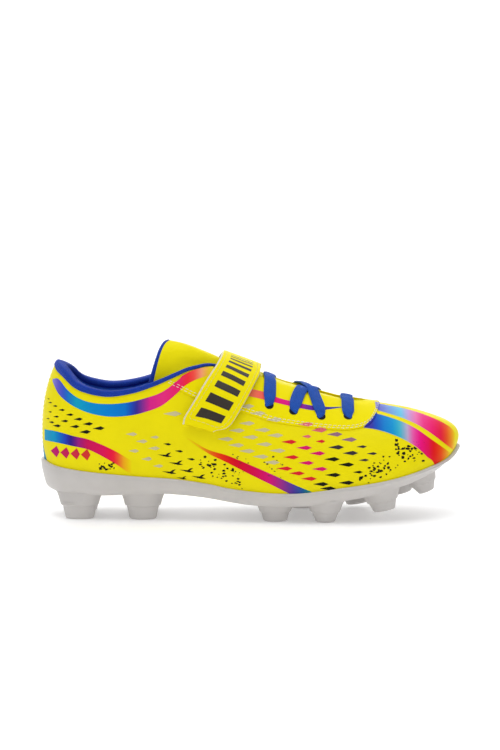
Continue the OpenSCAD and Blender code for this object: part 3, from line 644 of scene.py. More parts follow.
us = even(-0.44, 0.44, 190)
b = shell(us, floor_v(us, 1.6), depth_v(us, 0.3), 60, puffed, lambda u, v: puffed(u, v) - LINING_T, 0.2)
b.done("collar_lining", [m_lining], "shoe", "mesh_lining", ["quarter_lining"])
us = join([even(0.445, 0.796, 60), even(0.8, 1.2, 61), even(1.204, 1.555, 60)])
hi = np.where(fold(us) > 0.799, 1.0, np.minimum(seam_v(us) - 0.01, 0.99))
shell(us, floor_v(us, 1.6), hi, 40, -2.8, -3.4, 0.15).done("forefoot_lining", [m_lining], "shoe",
    "mesh_lining", ["vamp_lining"])

# rolled collar binding
us = even(-0.48, 0.48, 230)
v = edge_v(us)
p, n = surf(us, v)
up = unit(bez(rib(us), v + 0.02) - bez(rib(us), v - 0.02))
w = np.where(fold(us) > 0.455, 0.9, UPPER_T + 2.2 + pad(us, v))
w = np.convolve(np.pad(w, 6, mode="edge"), np.ones(13) / 13, "valid")
size = curve([[0, 1], [0.12, 0.95], [0.25, 0.75], [0.36, 0.62], [0.48, 0.5]], np.abs(us), 0)
low = curve([[0, 0.35], [0.03, 0.5], [0.08, 1], [0.25, 1.05], [0.48, 0.9]], np.abs(us), 0)
out = curve([[0, 0.45], [0.08, 1], [0.48, 1]], np.abs(us), 0)
prof = [(0.05, -1.0), (0.55, -0.95), (0.85, -0.55), (0.95, -0.05), (0.8, 0.42), (0.45, 0.72), (0, 0.88)]
rows = []
for a, h in prof:
    rows.append(p + n * (a * out)[:, None] + up * (h * size * (DROP * low if h < 0 else ROLL))[:, None])
for a in (0.2, 0.4, 0.6, 0.8):
    rows.append(p - n * (w * a)[:, None] + up * (size * ROLL * (0.9 + 0.1 * np.sin(np.pi * a)))[:, None])
for a, h in prof[::-1]:
    rows.append(p - n * (w + a * 1.15)[:, None] + up * (h * size * (DROP if h < 0 else ROLL))[:, None])
rows.append(p - n * (w * 0.5)[:, None] - up * (0.2 * size)[:, None])
g = np.stack(rows, 1)
m = g.shape[1]
b = Build().add(g, quads(len(us), m, False, True) + caps(len(us), m), 0, lengths(g))
b.done("collar_binding", [m_bind], "shoe", "mesh_lining", ["topline_binding"], 60, recalc=True)


# ---------- insole layers ----------
def slab(inset, z0, z1, crown=0.0):
    """Flat layer inside the plate from z0 to z1 above its floor, its sides raised by crown."""
    u = join([[0.0, 0.002, 0.006], even(0.012, 0.988, 120), [0.994, 0.998, 1.0]])
    a, c = (ring(10 * s) - ring_out(10 * s) * inset for s in (u, 2 - u))
    k = ends(0, 1, 40, 0.01)
    xy = mix(a[:, None], c[:, None], k[:, None])
    z = curve(BOTTOM_Z, xy[..., 0]) + PLATE_T
    edge = crown * (np.abs(2 * k - 1) ** 4)
    upper, lower = (join([xy, (z + h + edge)[..., None]], -1) for h in (z1, z0))
    return sheet_net(Build(), upper, lower, 0.25)


slab(1.7, 0.4, 1.6).done("lasting_board", [m_board], "shoe", "board", ["insole_board"], recalc=True)
b = slab(4.2, 1.8, 4.8, 1.2)
b.done("sock_pad", [m_foam], "shoe", "foam", ["sockliner_foam"], recalc=True)
b = slab(4.2, 4.9, 5.6, 1.2)
b.done("sock_cover", [m_sock], "shoe", "sock_fabric", ["sockliner_cover"], recalc=True)


# ---------- tongue ----------
def dip(a, x):
    """Depth of the tongue under the surface: at its middle, and what its flanks add."""
    middle = curve([[-30, 0.7], [-22, 0.7], [-8, 2.4], [40, 2.4], [56, 4.1], [70, 4.3]], x, 0)
    flanks = curve([[-24, 7.1], [-20, 7], [-8, 5], [3, 3], [70, 3]], x, 0)
    return middle + flanks * curve([[0, 0], [0.15, 0], [0.58, 1], [1, 1]], np.abs(a), 0)


aa = even(-1, 1, 61)
xs = join([[66, 65.9], even(65, -24.2, 70)])
X, AA = np.broadcast_arrays(xs[:, None], aa[None])
cu, cv = spot(X, TONGUE_W * np.abs(AA), np.where(AA < 0, -1, 1))
tp, tn = surf(cu, cv)


def tongue(off):
    """The tongue's net at a depth off below its face."""
    # in the lace opening the tongue lies almost flush with its edges
    fill = 1 - smooth(0.72, 1.0, TONGUE_W * np.abs(AA) / np.maximum(curve(MOUTH, X), 0.5))
    fill = fill * smooth(-14, -4, X) * (1 - smooth(48, 58, X))
    base = tp - tn * (dip(AA, X) * (1 - fill) + 1.0 * fill + off)[..., None]
    e = np.pi / 2 * np.abs(aa)
    lip = np.stack([-42.2 - 10.8 * (aa * aa + 0.004) ** 0.34 + off * 0.35,
        np.sign(aa) * (TONGUE_W - 9.1 - off) * np.sin(e) - 0.9,
        94.2 - off - (22 - off) * (1 - np.cos(e))], -1)
    k = ends(0, 1, 30, 0.01)[1:]
    rear = mix(base[-1], lip, k[:, None, None])
    rear[..., 2] += 0.9 * np.sin(np.pi * k)[:, None]
    return join([base, rear])


def soft(o, replaced, start, end):
    """A piece of fabric: hides the parts it replaces and bakes its transform into its mesh."""
    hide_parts(*replaced)
    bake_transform(o)
    return o


def tongue_piece(b, name, mat, replaced=()):
    o = b.done(name, [mat], None, recalc=True)
    return soft(o, replaced, (-0.0175, 0, 0.083), (-0.0317, 0, 0.0896))


g0, g1 = tongue(0), tongue(TONGUE_T)
tongue_piece(sheet_net(Build(), g0, tongue(0.7), 0.25), "tongue_face", m_tongue,
    ["tongue_base_skin", "tongue_top_skin"])
tongue_piece(sheet_net(Build(), tongue(0.8), tongue(3.0), 0.8), "tongue_padding", m_foam,
    ["tongue_base_foam", "tongue_top_foam"])
tongue_piece(sheet_net(Build(), tongue(3.1), g1, 0.25), "tongue_inside", m_lining,
    ["tongue_base_lining", "tongue_top_lining"])
# rolled edge of the tongue, from one flank over the top to the other
mid, nrm = (g0 + g1) / 2, unit(g0 - g1)
path, npath = (join([q[40:-1, 0], q[-1], q[40:-1, -1][::-1]]) for q in (mid, nrm))
k = np.abs(even(-1, 1, len(path)))
rad = curve([[0, 0.8], [0.18, 1.2], [0.4, 1.9], [0.62, 1.3], [1, 1.0]], k, 0)
tongue_piece(tube(path, npath, np.stack([rad, 2.2 + 0 * rad], -1), 14), "tongue_piping", m_bind)


# ---------- strap ----------
def strap_uv(q, w):
    """Place under the strap: q runs from its medial end (-1) to its tip (1), w from rear to front edge."""
    aq = np.abs(q)
    a, c = curve(REAR_V, aq), curve(FRONT_V, aq)
    t = mix(curve(REAR_T, a), curve(FRONT_T, c), w)
    return np.where(q > 0, t, 2 - t), np.where(aq < 1e-9, 1.0, mix(a, c, w))


def tip_in(q):
    """How far the rear and the front edge draw in at the tip."""
    rear = curve([[-2, 0], [0.9, 0], [0.96, 0.01], [1, 0.07]], q, 0)
    return rear, curve([[-2, 0], [0.82, 0], [0.93, 0.06], [1, 0.25]], q, 0)


STRAP_O = [[-1, 1.7], [-0.9, 1.9], [-0.78, 3.0], [-0.66, 4.1], [-0.5, 4.2], [-0.2, 3.4], [0.15, 3.3],
    [0.35, 3.9], [0.55, 4.5], [1, 4.5]]


def strap_net(q, w0, w1, m):
    k = ends(0, 1, m, 0.008)
    i0, i1 = tip_in(q)
    w = mix((w0 + i0)[:, None], (w1 - i1)[:, None], k)
    Q = q[:, None] + 0 * k
    return (*strap_uv(Q, w), Q)


def strap_lift(q):
    return curve(STRAP_O, q, 0)


def strap_piece(qs, open_row):
    """Skin and backing of one half; open_row is where it meets the other half."""
    b = Build()
    for w0, w1, top, bottom, r, mat in ((0, 1, 0, 0.85, 0.3, 0), (-0.04, 1.012, 0.87, 1.45, 0.2, 1)):
        u, v, Q = strap_net(qs, w0, w1, 26)
        o = strap_lift(Q)
        sheet_net(b, at(u, v, o - top), at(u, v, o - bottom), r, mat, open_rows=(open_row,))
    return b


def strap_line(b, q, w):
    """A row of yellow stitches."""
    u, v = strap_uv(q, w)
    p, n = surf(u, v)
    stitches(b, p + n * (strap_lift(q) + 0.02)[..., None], n, 2, 1.9, 0.6, 0.14)


def strap_middle(q):
    """Point on the middle line of the strap, in metres."""
    return tuple(at(*strap_uv(A(q, float), A(0.5)), 3.0) * 0.001)


medial = strap_piece(join([[-0.98, -0.978, -0.976], even(-0.97, -0.0001, 60)]), -1)
lateral = strap_piece(join([even(0.0001, 0.992, 64), [0.996, 0.998, 1.0]]), 0)
for w in (0.085, 0.915):
    strap_line(medial, even(-0.93, -0.02, 60), np.full(60, w))
strap_line(medial, np.full(20, -0.93), even(0.1, 0.9, 20))
q = join([even(0.0, 0.93, 60), np.full(20, 0.955), even(0.93, 0.0, 60)])
i0, i1 = tip_in(q)
strap_line(lateral, q, join([0.085 + i0[:60] * 1.2, even(0.13, 0.74, 20), 0.915 - i1[80:]]))
# printed bars, wide at the tip and narrow at the crest
for q0, q1 in ((0.93, 0.855), (0.80, 0.715), (0.655, 0.59), (0.535, 0.48), (0.43, 0.385), (0.34, 0.305),
        (0.265, 0.238), (0.2, 0.18), (0.145, 0.13)):
    g = patch([[q0, 0.2], [q0 - 0.025, 0.8], [q1 - 0.025, 0.8], [q1, 0.2]], 15, 9)
    u, v = strap_uv(g[..., 0], g[..., 1])
    lateral.add(at(u, v, strap_lift(g[..., 0]) + 0.05), quads(15, 9), 3, lengths(at(u, v, 4.5)))
mats = [m_strap, m_back, m_thread_y, m_strap_ink]
soft(medial.done("strap_medial", mats, None),
    ["strap_anchor", "strap_bridge", "strap_bridge_backing"],
    strap_middle(-0.80), strap_middle(-0.68))
soft(lateral.done("strap_lateral", mats, None), ["strap_tab", "strap_tab_backing"],
    strap_middle(0.36), strap_middle(0.48))
u, v, Q = strap_net(even(0.64, 0.95, 34), 0.12, 0.85, 18)
layer(u, v, HOOK_TOP - 0.02, HOOK_TOP - 0.8, 0.15).done("hook_tape", [m_hook], "tab", "hook_tape",
    ["hook_patch"])
u, v, Q = strap_net(even(0.8, 1.0, 26), 0.06, 0.94, 20)
layer(u, v, 0.85, 0.05, 0.2).done("loop_tape", [m_loop], "shoe", "loop_tape", ["loop_patch"])


# ---------- lace ----------
def eye_uv(i, side):
    """Place of a lace hole."""
    t, z = LACE_AT[i]
    u = A(t if side < 0 else 2 - t)
    return float(u), float(level_v(u, z))


def over_run(i, si, k, sk, lift):
    """Visible strand from hole i on side si to hole k on side sk, raised by lift in its middle."""
    (a, c) = (bez(rib(A(eye_uv(*e)[0])), A(eye_uv(*e)[1]))[:2] for e in ((i, si), (k, sk)))
    w = even(0, 1, 46)
    xy = mix(a, c, w[:, None])
    d = xy[:, 1] - curve(RIDGE_Y, xy[:, 0])
    u, v = spot(xy[:, 0], np.abs(d), np.where(d < 0, -1, 1))
    h = 1 - np.abs(2 * w - 1)
    e = np.minimum(1, h * 5)
    p, nn = surf(u, v)
    rise = FILM_T + 0.05 + LACE_T / 2
    beside = wide(p) / np.maximum(curve(MOUTH, p[:, 0] + 1.5), 1)
    low = -0.15 + (rise + 0.15) * smooth(0.4, 1.15, beside)
    o = 0.6 + (low - 0.6) * smooth(0, 1, np.minimum(1, e * 1.6))
    o = o + lift * curve([[0, 0], [0.5, 0], [0.8, 1], [1, 1]], h, 0)
    return p + nn * o[:, None], nn, 2.3 + (LACE_W / 2 - 2.3) * smooth(0, 1, e * 1.2)


def under_run(i, k, side):
    """Hidden strand under the eyestay between two holes of one side."""
    a, c = eye_uv(i, side), eye_uv(k, side)
    w = even(0, 1, 16)[1:-1]
    e = np.sin(np.pi * w)
    p, nn = surf(a[0] + (c[0] - a[0]) * w, a[1] + (c[1] - a[1]) * w)
    return p + nn * (-1.6 - 2.35 * np.minimum(1, e * 1.6))[:, None], nn, 2.0 + 0 * w


strands = [over_run(0, -1, 0, 1, 0), under_run(0, 1, 1), over_run(1, 1, 2, -1, LACE_T + 0.1),
    under_run(2, 3, -1), over_run(3, -1, 3, 1, 0), under_run(3, 2, 1), over_run(2, 1, 1, -1, 0),
    under_run(1, 0, -1)]
path, nn, half = (join([k[i] for k in strands]) for i in range(3))
b = tube(path, nn, np.stack([half, LACE_T / 2 + 0 * half], -1), 20, True)
b.done("lace", [m_lace], "shoe", "lace_knit", ["elastic_lace"], 80, recalc=True)


# ---------- stud plate ----------
def xyz(xy, z):
    return join([xy, z[:, None]], -1)


def under_z(p):
    """Height of the plate's underside."""
    return curve(BOTTOM_Z, p[..., 0]) - curve(UNDER_DROP, p[..., 0])


def refine(k, m):
    """Smooth curve through the points of each row."""
    n = k.shape[1]
    ext = join([2 * k[:, :1] - k[:, 1:2], k, 2 * k[:, -1:] - k[:, -2:-1]], 1)
    out = []
    for i in range(n - 1):
        out += [through(*(ext[:, i + s] for s in range(4)), w) for w in np.arange(m) / m]
    out.append(k[:, -1])
    return np.stack(out, 1)


def relief(x, y):
    """Shallow ribs and sunk rings on the underside."""
    yc = y - curve(RIDGE_Y, x)
    ribs = sum(np.exp(-((yc - c) / 1.6) ** 2) for c in (-8, 0, 8))
    ribs = ribs * smooth(-48, -40, x) * (1 - smooth(-14, -6, x))
    ball = smooth(0, 1.2, 1 - np.abs(np.hypot((x - 45) / 34, yc / 17) - 1) * 9)
    heel = smooth(0, 1.2, 1 - np.abs(np.hypot((x + 74) / 26, yc / 9) - 1) * 7)
    return 0.9 * ribs + 0.6 * ball + 0.6 * heel


def across(edge, n):
    """Net between the lateral and the medial half of a closed edge."""
    lat, med = edge[HALF], edge[(N - HALF) % N]
    k = even(0, 1, n)
    return mix(lat[:, None], med[:, None], k[:, None])


N = 360
HALF = np.arange(N // 2 + 1)
u = np.arange(N) / N * 2
bb, oo, k_in = ring(10 * u), ring_out(10 * u), curve(UNDER_IN, fold(u), 0)
top_at = above_v(u, RIM_Z)
s, sn = surf(u, top_at)
sm, smn = surf(u, top_at * 0.5)
q0, q1, q2, turn = bb - oo * PLATE_IN, bb - oo * k_in[:, None], bb + oo * 0.4, bb - oo * (k_in + 2)[:, None]
key = [xyz(q0, under_z(q0)), xyz(turn, under_z(turn)), xyz(q1, under_z(q1) + 0.1),
    xyz(q2, under_z(q2) + 2.6), sm + smn * (0.15 + RIM_T * 0.9), s + sn * RIM_T * 0.85 - A([0, 0, 0.8])]
# from the rim's top down its inner face to the plate's floor
inner = [s + sn * RIM_T * 0.78 - A([0, 0, 0.25]), s + sn * RIM_T * 0.62,
    s + sn * RIM_T * 0.3 + A([0, 0, 0.02]), s + sn * 0.08 - A([0, 0, 0.1]), s + sn * 0.02 - A([0, 0, 0.6]),
    sm + smn * 0.12, xyz(bb + oo * 0.15, curve(BOTTOM_Z, bb[:, 0]) + PLATE_T),
    xyz(q0, curve(BOTTOM_Z, q0[:, 0]) + PLATE_T)]
rows = join([refine(np.stack(key, 1), 6), np.stack(inner, 1)], 1)
b = Build().add(rows, flip(quads(N, rows.shape[1], True, False)))
g = across(rows[:, 0], 60)
g[..., 2] = under_z(g) - relief(g[..., 0], g[..., 1]) * np.sin(np.pi * even(0, 1, 60))[None] ** 0.2
b.add(g, quads(len(HALF), 60))
b.add(across(rows[:, -1], 8), flip(quads(len(HALF), 8)))
edge = ring(10 * u) - oo * 0.7
edge_a, edge_r = np.arctan2(edge[:, 1], edge[:, 0]), np.linalg.norm(edge, axis=1)
order = np.argsort(edge_a)
edge_a, edge_r = edge_a[order], edge_r[order]


def inside(g):
    """Keeps points on the underside within the plate's outline."""
    rr = np.hypot(g[..., 0], g[..., 1])
    lim = np.interp(np.arctan2(g[..., 1], g[..., 0]), edge_a, edge_r, period=2 * np.pi)
    k = np.minimum(1, lim / np.maximum(rr, 1e-6))
    return join([g[..., :2] * k[..., None], g[..., 2:]], -1)


# a stud in three runs: (height, width) shares from its root to the step, below the step, and over its end
STEP = ((1.1, 1.22), (1.02, 1.07), (0.94, 1.0), (0.84, 0.945), (0.74, 0.9), (0.62, 0.855), (0.53, 0.82),
    (0.505, 0.805), (0.49, 0.78), (0.485, 0.755))
SHAFT = (0.0, 0.02, 0.06, 0.2, 0.45, 0.7, 0.88, 1.0)
END = ((0.75, 0.12), (0.4, 0.36), (0.15, 0.75), (0.02, 1.3), (0.0, 2.2), (0.25, 2.7), (0.3, 3.2))
SIDES = 48
for x, y, foot, tilt, h, ax, ay, tx, ty in STUDS:
    prof = [(z * h, ax * share, ay * share) for z, share in STEP]
    for w in SHAFT:
        lip = 0.18 if w == 0 else 0
        z = mix(0.485 * h, 1.1, w) - 0.05
        prof.append((z, mix(ax * 0.735, tx, w) + lip, mix(ay * 0.745, ty, w) + lip))
    prof += [(z, tx - d, ty - d) for z, d in END]
    ca, sa = np.cos(circle(SIDES)), np.sin(circle(SIDES))
    g = np.stack([np.stack([rx * ca, ry * sa, z + 0 * ca], -1) for z, rx, ry in prof])
    c, s = math.cos(math.radians(tilt)), math.sin(math.radians(tilt))
    g = np.stack([g[..., 0] * c - g[..., 2] * s, g[..., 1], g[..., 0] * s + g[..., 2] * c], -1)
    g = g + A([x, y, foot])
    g[:6] = inside(g[:6])
    b.add(g, quads(len(prof), SIDES, False, True) + [caps(len(prof), SIDES)[1][::-1]])
b.done("stud_plate", [m_sole], "shoe", "outsole_plastic", ["outsole"], 40)


# ---------- prints, as thin ink films on the upper, and painted shade in the lace holes ---
def ink_lift(u, v):
    """Height of the print: over the eyestay it lies on the overlay."""
    t = fold(u)
    on = (v > seam_v(np.where(t < 0.8, u, 0.5)) - 0.004) & (t > 0.372) & (t < 0.8)
    return np.where(on, FILM_T, 0.0) + INK_T


def ramp(stops):
    """Colour over length, from (length, red, green, blue) stops."""
    x, c = A([s[0] for s in stops], float), A([s[1:] for s in stops], float)
    return lambda k: lin(np.stack([np.interp(k, x, c[:, i]) for i in range(3)], -1))


def stripe(b, side, centre, colour, nx, nw=9):
    """A stripe along (length, height, half width) stops."""
    c = A(centre, float)
    x = even(c[0, 0], c[-1, 0], nx)
    z, h = curve(c[:, :2], x), np.maximum(0.05, curve(c[:, [0, 2]], x))
    X, Z = x[:, None] + np.zeros(nw), z[:, None] + h[:, None] * even(-1, 1, nw)
    u, v = place(X, Z, side)
    p = at(u, v, ink_lift(u, v))
    b.add(p, quads(nx, nw) if side < 0 else flip(quads(nx, nw)), 0, lengths(p), colour(X))


YEL = (244, 229, 0)
collar_c = [[-105.5, 73.4, 0.6], [-102, 70.8, 3.7], [-96.7, 66, 3.2], [-91, 62.6, 2.8], [-83.8, 60.3, 2.9],
    [-74.2, 59.3, 3.3], [-64.5, 60, 3.5], [-56.5, 61.8, 3.6], [-46.9, 65.2, 3.5], [-37.8, 72, 3.1],
    [-36, 73.9, 3], [-30, 76.9, 2.6], [-24, 78.5, 2.2], [-20, 79, 2]]
collar_k = ramp([(-106, 150, 150, 220), (-102, 100, 90, 200), (-99, 60, 90, 205), (-97, 35, 110, 200),
    (-92, 20, 160, 195), (-83, 0, 140, 210), (-74, 0, 130, 215), (-66, 10, 120, 210), (-62, 40, 70, 180),
    (-60, 60, 50, 150), (-57, 130, 50, 150), (-53, 220, 40, 140), (-46, 235, 50, 130), (-38, 240, 40, 110),
    (-33, 250, 50, 60), (-30, 250, 80, 70), (-26, 250, 160, 120), (-20, *YEL)])
heel_c = [[-110, 44.1, 2.9], [-104.7, 44.2, 2.95], [-99.4, 43.6, 2.85], [-94, 42.6, 2.7], [-86, 41.2, 2.7],
    [-80.6, 39.1, 2.9], [-75.3, 36.5, 3.2], [-70, 33.6, 3.4], [-66, 31, 3.5], [-60, 27.5, 3.4]]
heel_k = ramp([(-104, 0, 150, 200), (-101, 20, 110, 200), (-98, 40, 70, 190),
    (-95, 50, 30, 140), (-91, 150, 30, 130), (-86, 205, 20, 90), (-78, 220, 20, 90), (-74, 235, 20, 70),
    (-72, 240, 40, 60), (-70, 240, 90, 50), (-67, 244, 170, 30), (-62.5, *YEL)])
diag_c = [[-34, 45, 0.3], [-22.9, 38.1, 0.9], [-12.2, 34, 1.9], [-0.3, 28.7, 2.5], [11.6, 23.4, 2.8],
    [23.5, 17.9, 3], [32, 14.5, 3]]
diag_k = ramp([(-34, *YEL), (-28, 244, 190, 10), (-23, 235, 130, 20), (-15, 235, 50, 20), (-8, 220, 15, 40),
    (0, 215, 10, 70), (10, 215, 20, 120), (16, 160, 50, 140), (22, 90, 60, 160), (27, 40, 90, 160),
    (31, 30, 140, 130)])
lace_c = [[-4, 68.5, 1.9], [0, 67.7, 1.9], [7.5, 65.8, 1.8], [14.6, 63.4, 1.3], [21.7, 61.6, 1.2],
    [34, 59.1, 1.0], [41.4, 58.9, 0.5], [48, 59, 0.15]]
lace_k = ramp([(-4, 250, 160, 90), (0, 245, 120, 90), (7, 250, 100, 90), (14, 230, 20, 120),
    (22, 220, 30, 140), (30, 110, 40, 160), (38, 60, 40, 150), (45, 40, 60, 160)])
up_k = ramp([(66, 110, 110, 200), (69, 110, 115, 205), (73, 120, 150, 220), (80, 110, 200, 235),
    (84, 200, 160, 220), (88, 240, 120, 180), (92, 240, 60, 140), (97, 240, 30, 110), (101, 235, 30, 70),
    (104, 240, 80, 40), (107, 245, 150, 30), (109.5, *YEL)])
low_k = ramp([(64, 60, 60, 170), (66, 30, 80, 190), (71, 10, 130, 210),
    (75, 10, 150, 215), (79, 70, 180, 205), (83, 190, 170, 205), (86, 235, 90, 170), (90, 240, 20, 130),
    (94, 235, 20, 90), (97, 235, 30, 30), (101, 240, 80, 20), (104, 240, 150, 20), (107, *YEL)])

UP_LO = [[60, 59], [66.7, 57.6], [72.9, 56], [80.8, 53.6], [88.7, 50.2], [96.5, 45.3], [104.4, 39.1],
    [108.3, 35.8], [112, 32]]
LOW_HI = [[60, 57.4], [66.7, 56.1], [72.9, 54.5], [80.8, 51.8], [88.7, 47.9], [96.5, 42.4], [102.8, 37.7],
    [106.7, 34.3], [112, 29]]
LOW_LO = [[59.6, 49.8], [67, 48.6], [76.1, 45.7], [83.2, 42.4], [88.7, 38.6], [93.4, 34.1], [97.3, 29.8],
    [99, 20]]

UP_CREST = [[60, 3], [69, 3.5], [83, 6], [96, 8.6], [104, 9.6], [112, 9.6]]


def toe_print(b, side):
    """Both stripes over the toe cap, cut out of one dense sheet."""
    t, v = np.meshgrid(even(0.7, 1, 360), even(0.03, 0.9995, 230), indexing="ij")
    u = t if side < 0 else 2 - t
    p = bez(rib(u), v)
    x, z, w = p[..., 0], p[..., 2], wide(p)
    up = np.minimum.reduce([z - curve(UP_LO, x), w - curve(UP_CREST, x), x - 66.6])
    slanted_end = x - 59.6 - 7.0 * (z - 49.8) / 6.3
    lo = np.minimum.reduce([curve(LOW_HI, x) - z, np.where(x < 99, z - curve(LOW_LO, x), 9), slanted_end])
    d = np.maximum(up, lo)
    k = np.clip(0.5 + d / 0.3, 0, 1)[..., None]
    col = mix(lin(YEL), np.where((up > lo)[..., None], up_k(x), low_k(x)), k)
    on = d > -0.15
    f = [q for q in quads(*x.shape) if on.ravel()[list(q)].any()]
    used, f = np.unique(A(f), return_inverse=True)
    f = f.reshape(-1, 4)
    p = at(u, v, ink_lift(u, v)).reshape(-1, 3)[used]
    b.add(p, (f if side > 0 else f[:, ::-1]).tolist(), 0, None, col.reshape(-1, 3)[used])


b = Build()
for side in (-1, 1):
    stripe(b, side, collar_c, collar_k, 150)
    stripe(b, side, heel_c, heel_k, 80)
    stripe(b, side, diag_c, diag_k, 110, 11)
    stripe(b, side, lace_c, lace_k, 80)
    toe_print(b, side)
b.done("print_stripes", [m_ink_and_hole_shade], "shoe", "printed_upper")

BLACK, GREY, DARK = (30, 32, 20), (206, 196, 152), (60, 52, 60)
PINK, RED, MAGENTA, VIOLET = (228, 110, 120), (222, 40, 50), (222, 30, 110), (150, 110, 130)
MARKS = {-1: [], 1: []}


def lay_marks(b):
    """Puts every waiting mark on its side of the upper."""
    for side, items in MARKS.items():
        u, v = place(join([i[0] for i in items]), join([i[1] for i in items]), side)
        p, k = at(u, v, ink_lift(u, v)), 0
        for x, _, f, c in items:
            b.add(p[k:k + len(x)], f if side < 0 else flip(f), 0, None, c)
            k += len(x)


def kite(side, x, z, length, height, rgb, turn=0.0):
    """A lozenge with its long corner to the heel."""
    c = [[-0.57 * length, 0], [0.12 * length, 0.5 * height], [0.46 * length, 0],
        [0.12 * length, -0.5 * height]]
    a = math.radians(turn)
    c = A(c) @ A([[math.cos(a), math.sin(a)], [-math.sin(a), math.cos(a)]]) + A([x, z])
    g = patch(c, 6, 5)
    MARKS[side].append((g[..., 0].ravel(), g[..., 1].ravel(), quads(6, 5), lin(rgb)))


def arrow(side, x, z, s, rgb):
    kite(side, x, z, 7.6 * s, 1.2 * s, rgb, -9)
    kite(side, x + 1.1 * s, z + 0.7 * s, 4.8 * s, 1.0 * s, rgb, 27)


def splat(side, x, z, r, rgb):
    """An uneven drop of ink."""
    n = 7
    a = circle(n) + rng.uniform(0, 1)
    rr = r * rng.uniform(0.55, 1.15, n)
    X = np.append(x, x + rr * np.cos(a) * rng.uniform(1, 1.9))
    Z = np.append(z, z + rr * np.sin(a))
    MARKS[side].append((X, Z, [(0, 1 + (i + 1) % n, 1 + i) for i in range(n)], lin(rgb)))


ROWS = [(-108.2, 63), (-107.1, 61.3), (-104.2, 59.9), (-100.4, 58.2), (-96, 56), (-91.3, 53.9),
    (-86.1, 51.6), (-80.3, 49.4)]
ROWS2 = [(-107.1, 56.4), (-103.5, 54.4), (-98.8, 52.5), (-93.2, 49.9), (-87.6, 47.3)]
ROWS3 = [(-108.4, 52.7), (-106.2, 51.1), (-103.1, 49.6)]
LEFT = [(-40.7, 57.5, 9.5, 2.7), (-62.4, 46.8, 6, 2), (-50.3, 45.2, 4.6, 1.6), (-57, 43, 6, 2),
    (-50.6, 39.3, 6.2, 2), (-61.3, 37.9, 5.6, 1.9), (-54.4, 33.6, 5.6, 1.9), (-48.5, 29.9, 5.2, 1.8),
    (-53.8, 34.2, 3, 1.2)]
DARTS = [(-43.7, 41.5), (-37.5, 37.8), (-44.9, 35.4), (-31.2, 33.6), (-39, 31.2), (-33.3, 27.3),
    (-42.5, 26.4), (-36, 23.4), (-27, 24)]
FIELD = [(GREY, [(-1.8, 61.1), (4.2, 57.5), (-1.5, 52.7), (12.8, 54.2), (-6.8, 49), (6.6, 49.3),
        (-12.8, 44.5), (0.3, 45.6), (13.4, 46.6), (-7.1, 41.4), (7.5, 42), (-1.5, 38.4), (14.6, 38.8),
        (5.7, 35.6), (11.6, 32.7)]),
    (PINK, [(29.3, 51.7), (36.4, 49)]),
    (RED, [(20.6, 43.3), (21.7, 35.5), (18.2, 29.6), (24.7, 27.2), (31, 24.4)]),
    (MAGENTA, [(28.5, 40.3), (35.5, 37.5), (29.6, 32.6), (36.7, 29.5)]),
    (VIOLET, [(44.7, 46.9), (52.2, 44.2)]),
    (DARK, [(45.3, 40.5), (52.8, 37.5), (59.7, 33.9), (58.6, 40.6), (64, 37.1)]),
    (BLACK, [(43.1, 34.5), (50.6, 31.7), (56.5, 27.8), (43.6, 26.4), (50.6, 22.3), (37.2, 21.6),
        (41, 19.3)])]
# splashes: number, from, to, height over length, smallest and largest drop, colour
SPLASHES = [(46, -27, -4, lambda x: 34.5 - (x + 27) * 0.42 - rng.uniform(-2.5, 7), 0.25, 0.75, BLACK),
    (22, -10, 18, lambda x: rng.uniform(24, 37), 0.2, 0.5, (70, 60, 40)),
    (60, 76, 92, lambda x: 38 + (x - 84) * 0.1 + rng.normal(0, 3.0), 0.2, 0.85, BLACK),
    (46, 57, 74, lambda x: 28.5 + (x - 65) * 0.25 + rng.normal(0, 2.6), 0.2, 0.8, BLACK),
    (24, -80, -72, lambda x: 28.8 + rng.normal(0, 1.0), 0.25, 0.7, BLACK)]
b = Build()
for side in (-1, 1):
    for row, s0, s1 in ((ROWS, 1.6, 6.2), (ROWS2, 2.2, 6.2), (ROWS3, 2.0, 4.6)):
        for i, (x, z) in enumerate(row):
            s = s0 + (s1 - s0) * i / (len(row) - 1)
            kite(side, x + 0.6, z + 0.4, s, s * 0.33, BLACK, 4)
    for x, z, l, h in LEFT:
        kite(side, x, z, l, h, GREY)
    for i, (x, z) in enumerate(DARTS):
        if i in (0, 1, 3):
            kite(side, x, z, 4.2, 1.3, BLACK, -6)
        else:
            arrow(side, x, z, 0.7 if i == 7 else 1, BLACK)
    for rgb, pts in FIELD:
        for x, z in pts:
            kite(side, x, z, 8.2 if x < 55 else 5.5, 2.2 if x < 55 else 1.4, rgb)
    kite(side, 29.7, 46, 5, 1.7, PINK)
    kite(side, 37, 43.5, 5, 1.7, RED)
    for i, x in enumerate((-103.5, -98, -92.4, -86.8)):
        kite(side, x, 36.2 - 0.2 * i, 5.0, 6.2, (190 + 8 * i, 20 + 12 * i, 110 - 20 * i))
    for count, x0, x1, height, r0, r1, rgb in SPLASHES:
        for _ in range(count):
            x = rng.uniform(x0, x1)
            splat(side, x, height(x), rng.uniform(r0, r1), rgb)
lay_marks(b)
# painted shade: dark discs stand in for the shadow inside the lace holes, which are not cut through
EYE_R, n = 2.4, 24
for i in range(4):
    for side in (-1, 1):
        c, out = surf(*(A(k) for k in eye_uv(i, side)))
        c = c + out * (FILM_T + 0.05)
        e1 = unit(np.cross(out, A([0, 0, 1.0])))
        e2 = np.cross(out, e1)
        disc = c + EYE_R * (np.cos(circle(n))[:, None] * e1 + np.sin(circle(n))[:, None] * e2)
        b.add(np.vstack([c, disc]), [(0, 1 + k, 1 + (k + 1) % n) for k in range(n)], 0, None,
            lin((24, 26, 34)))
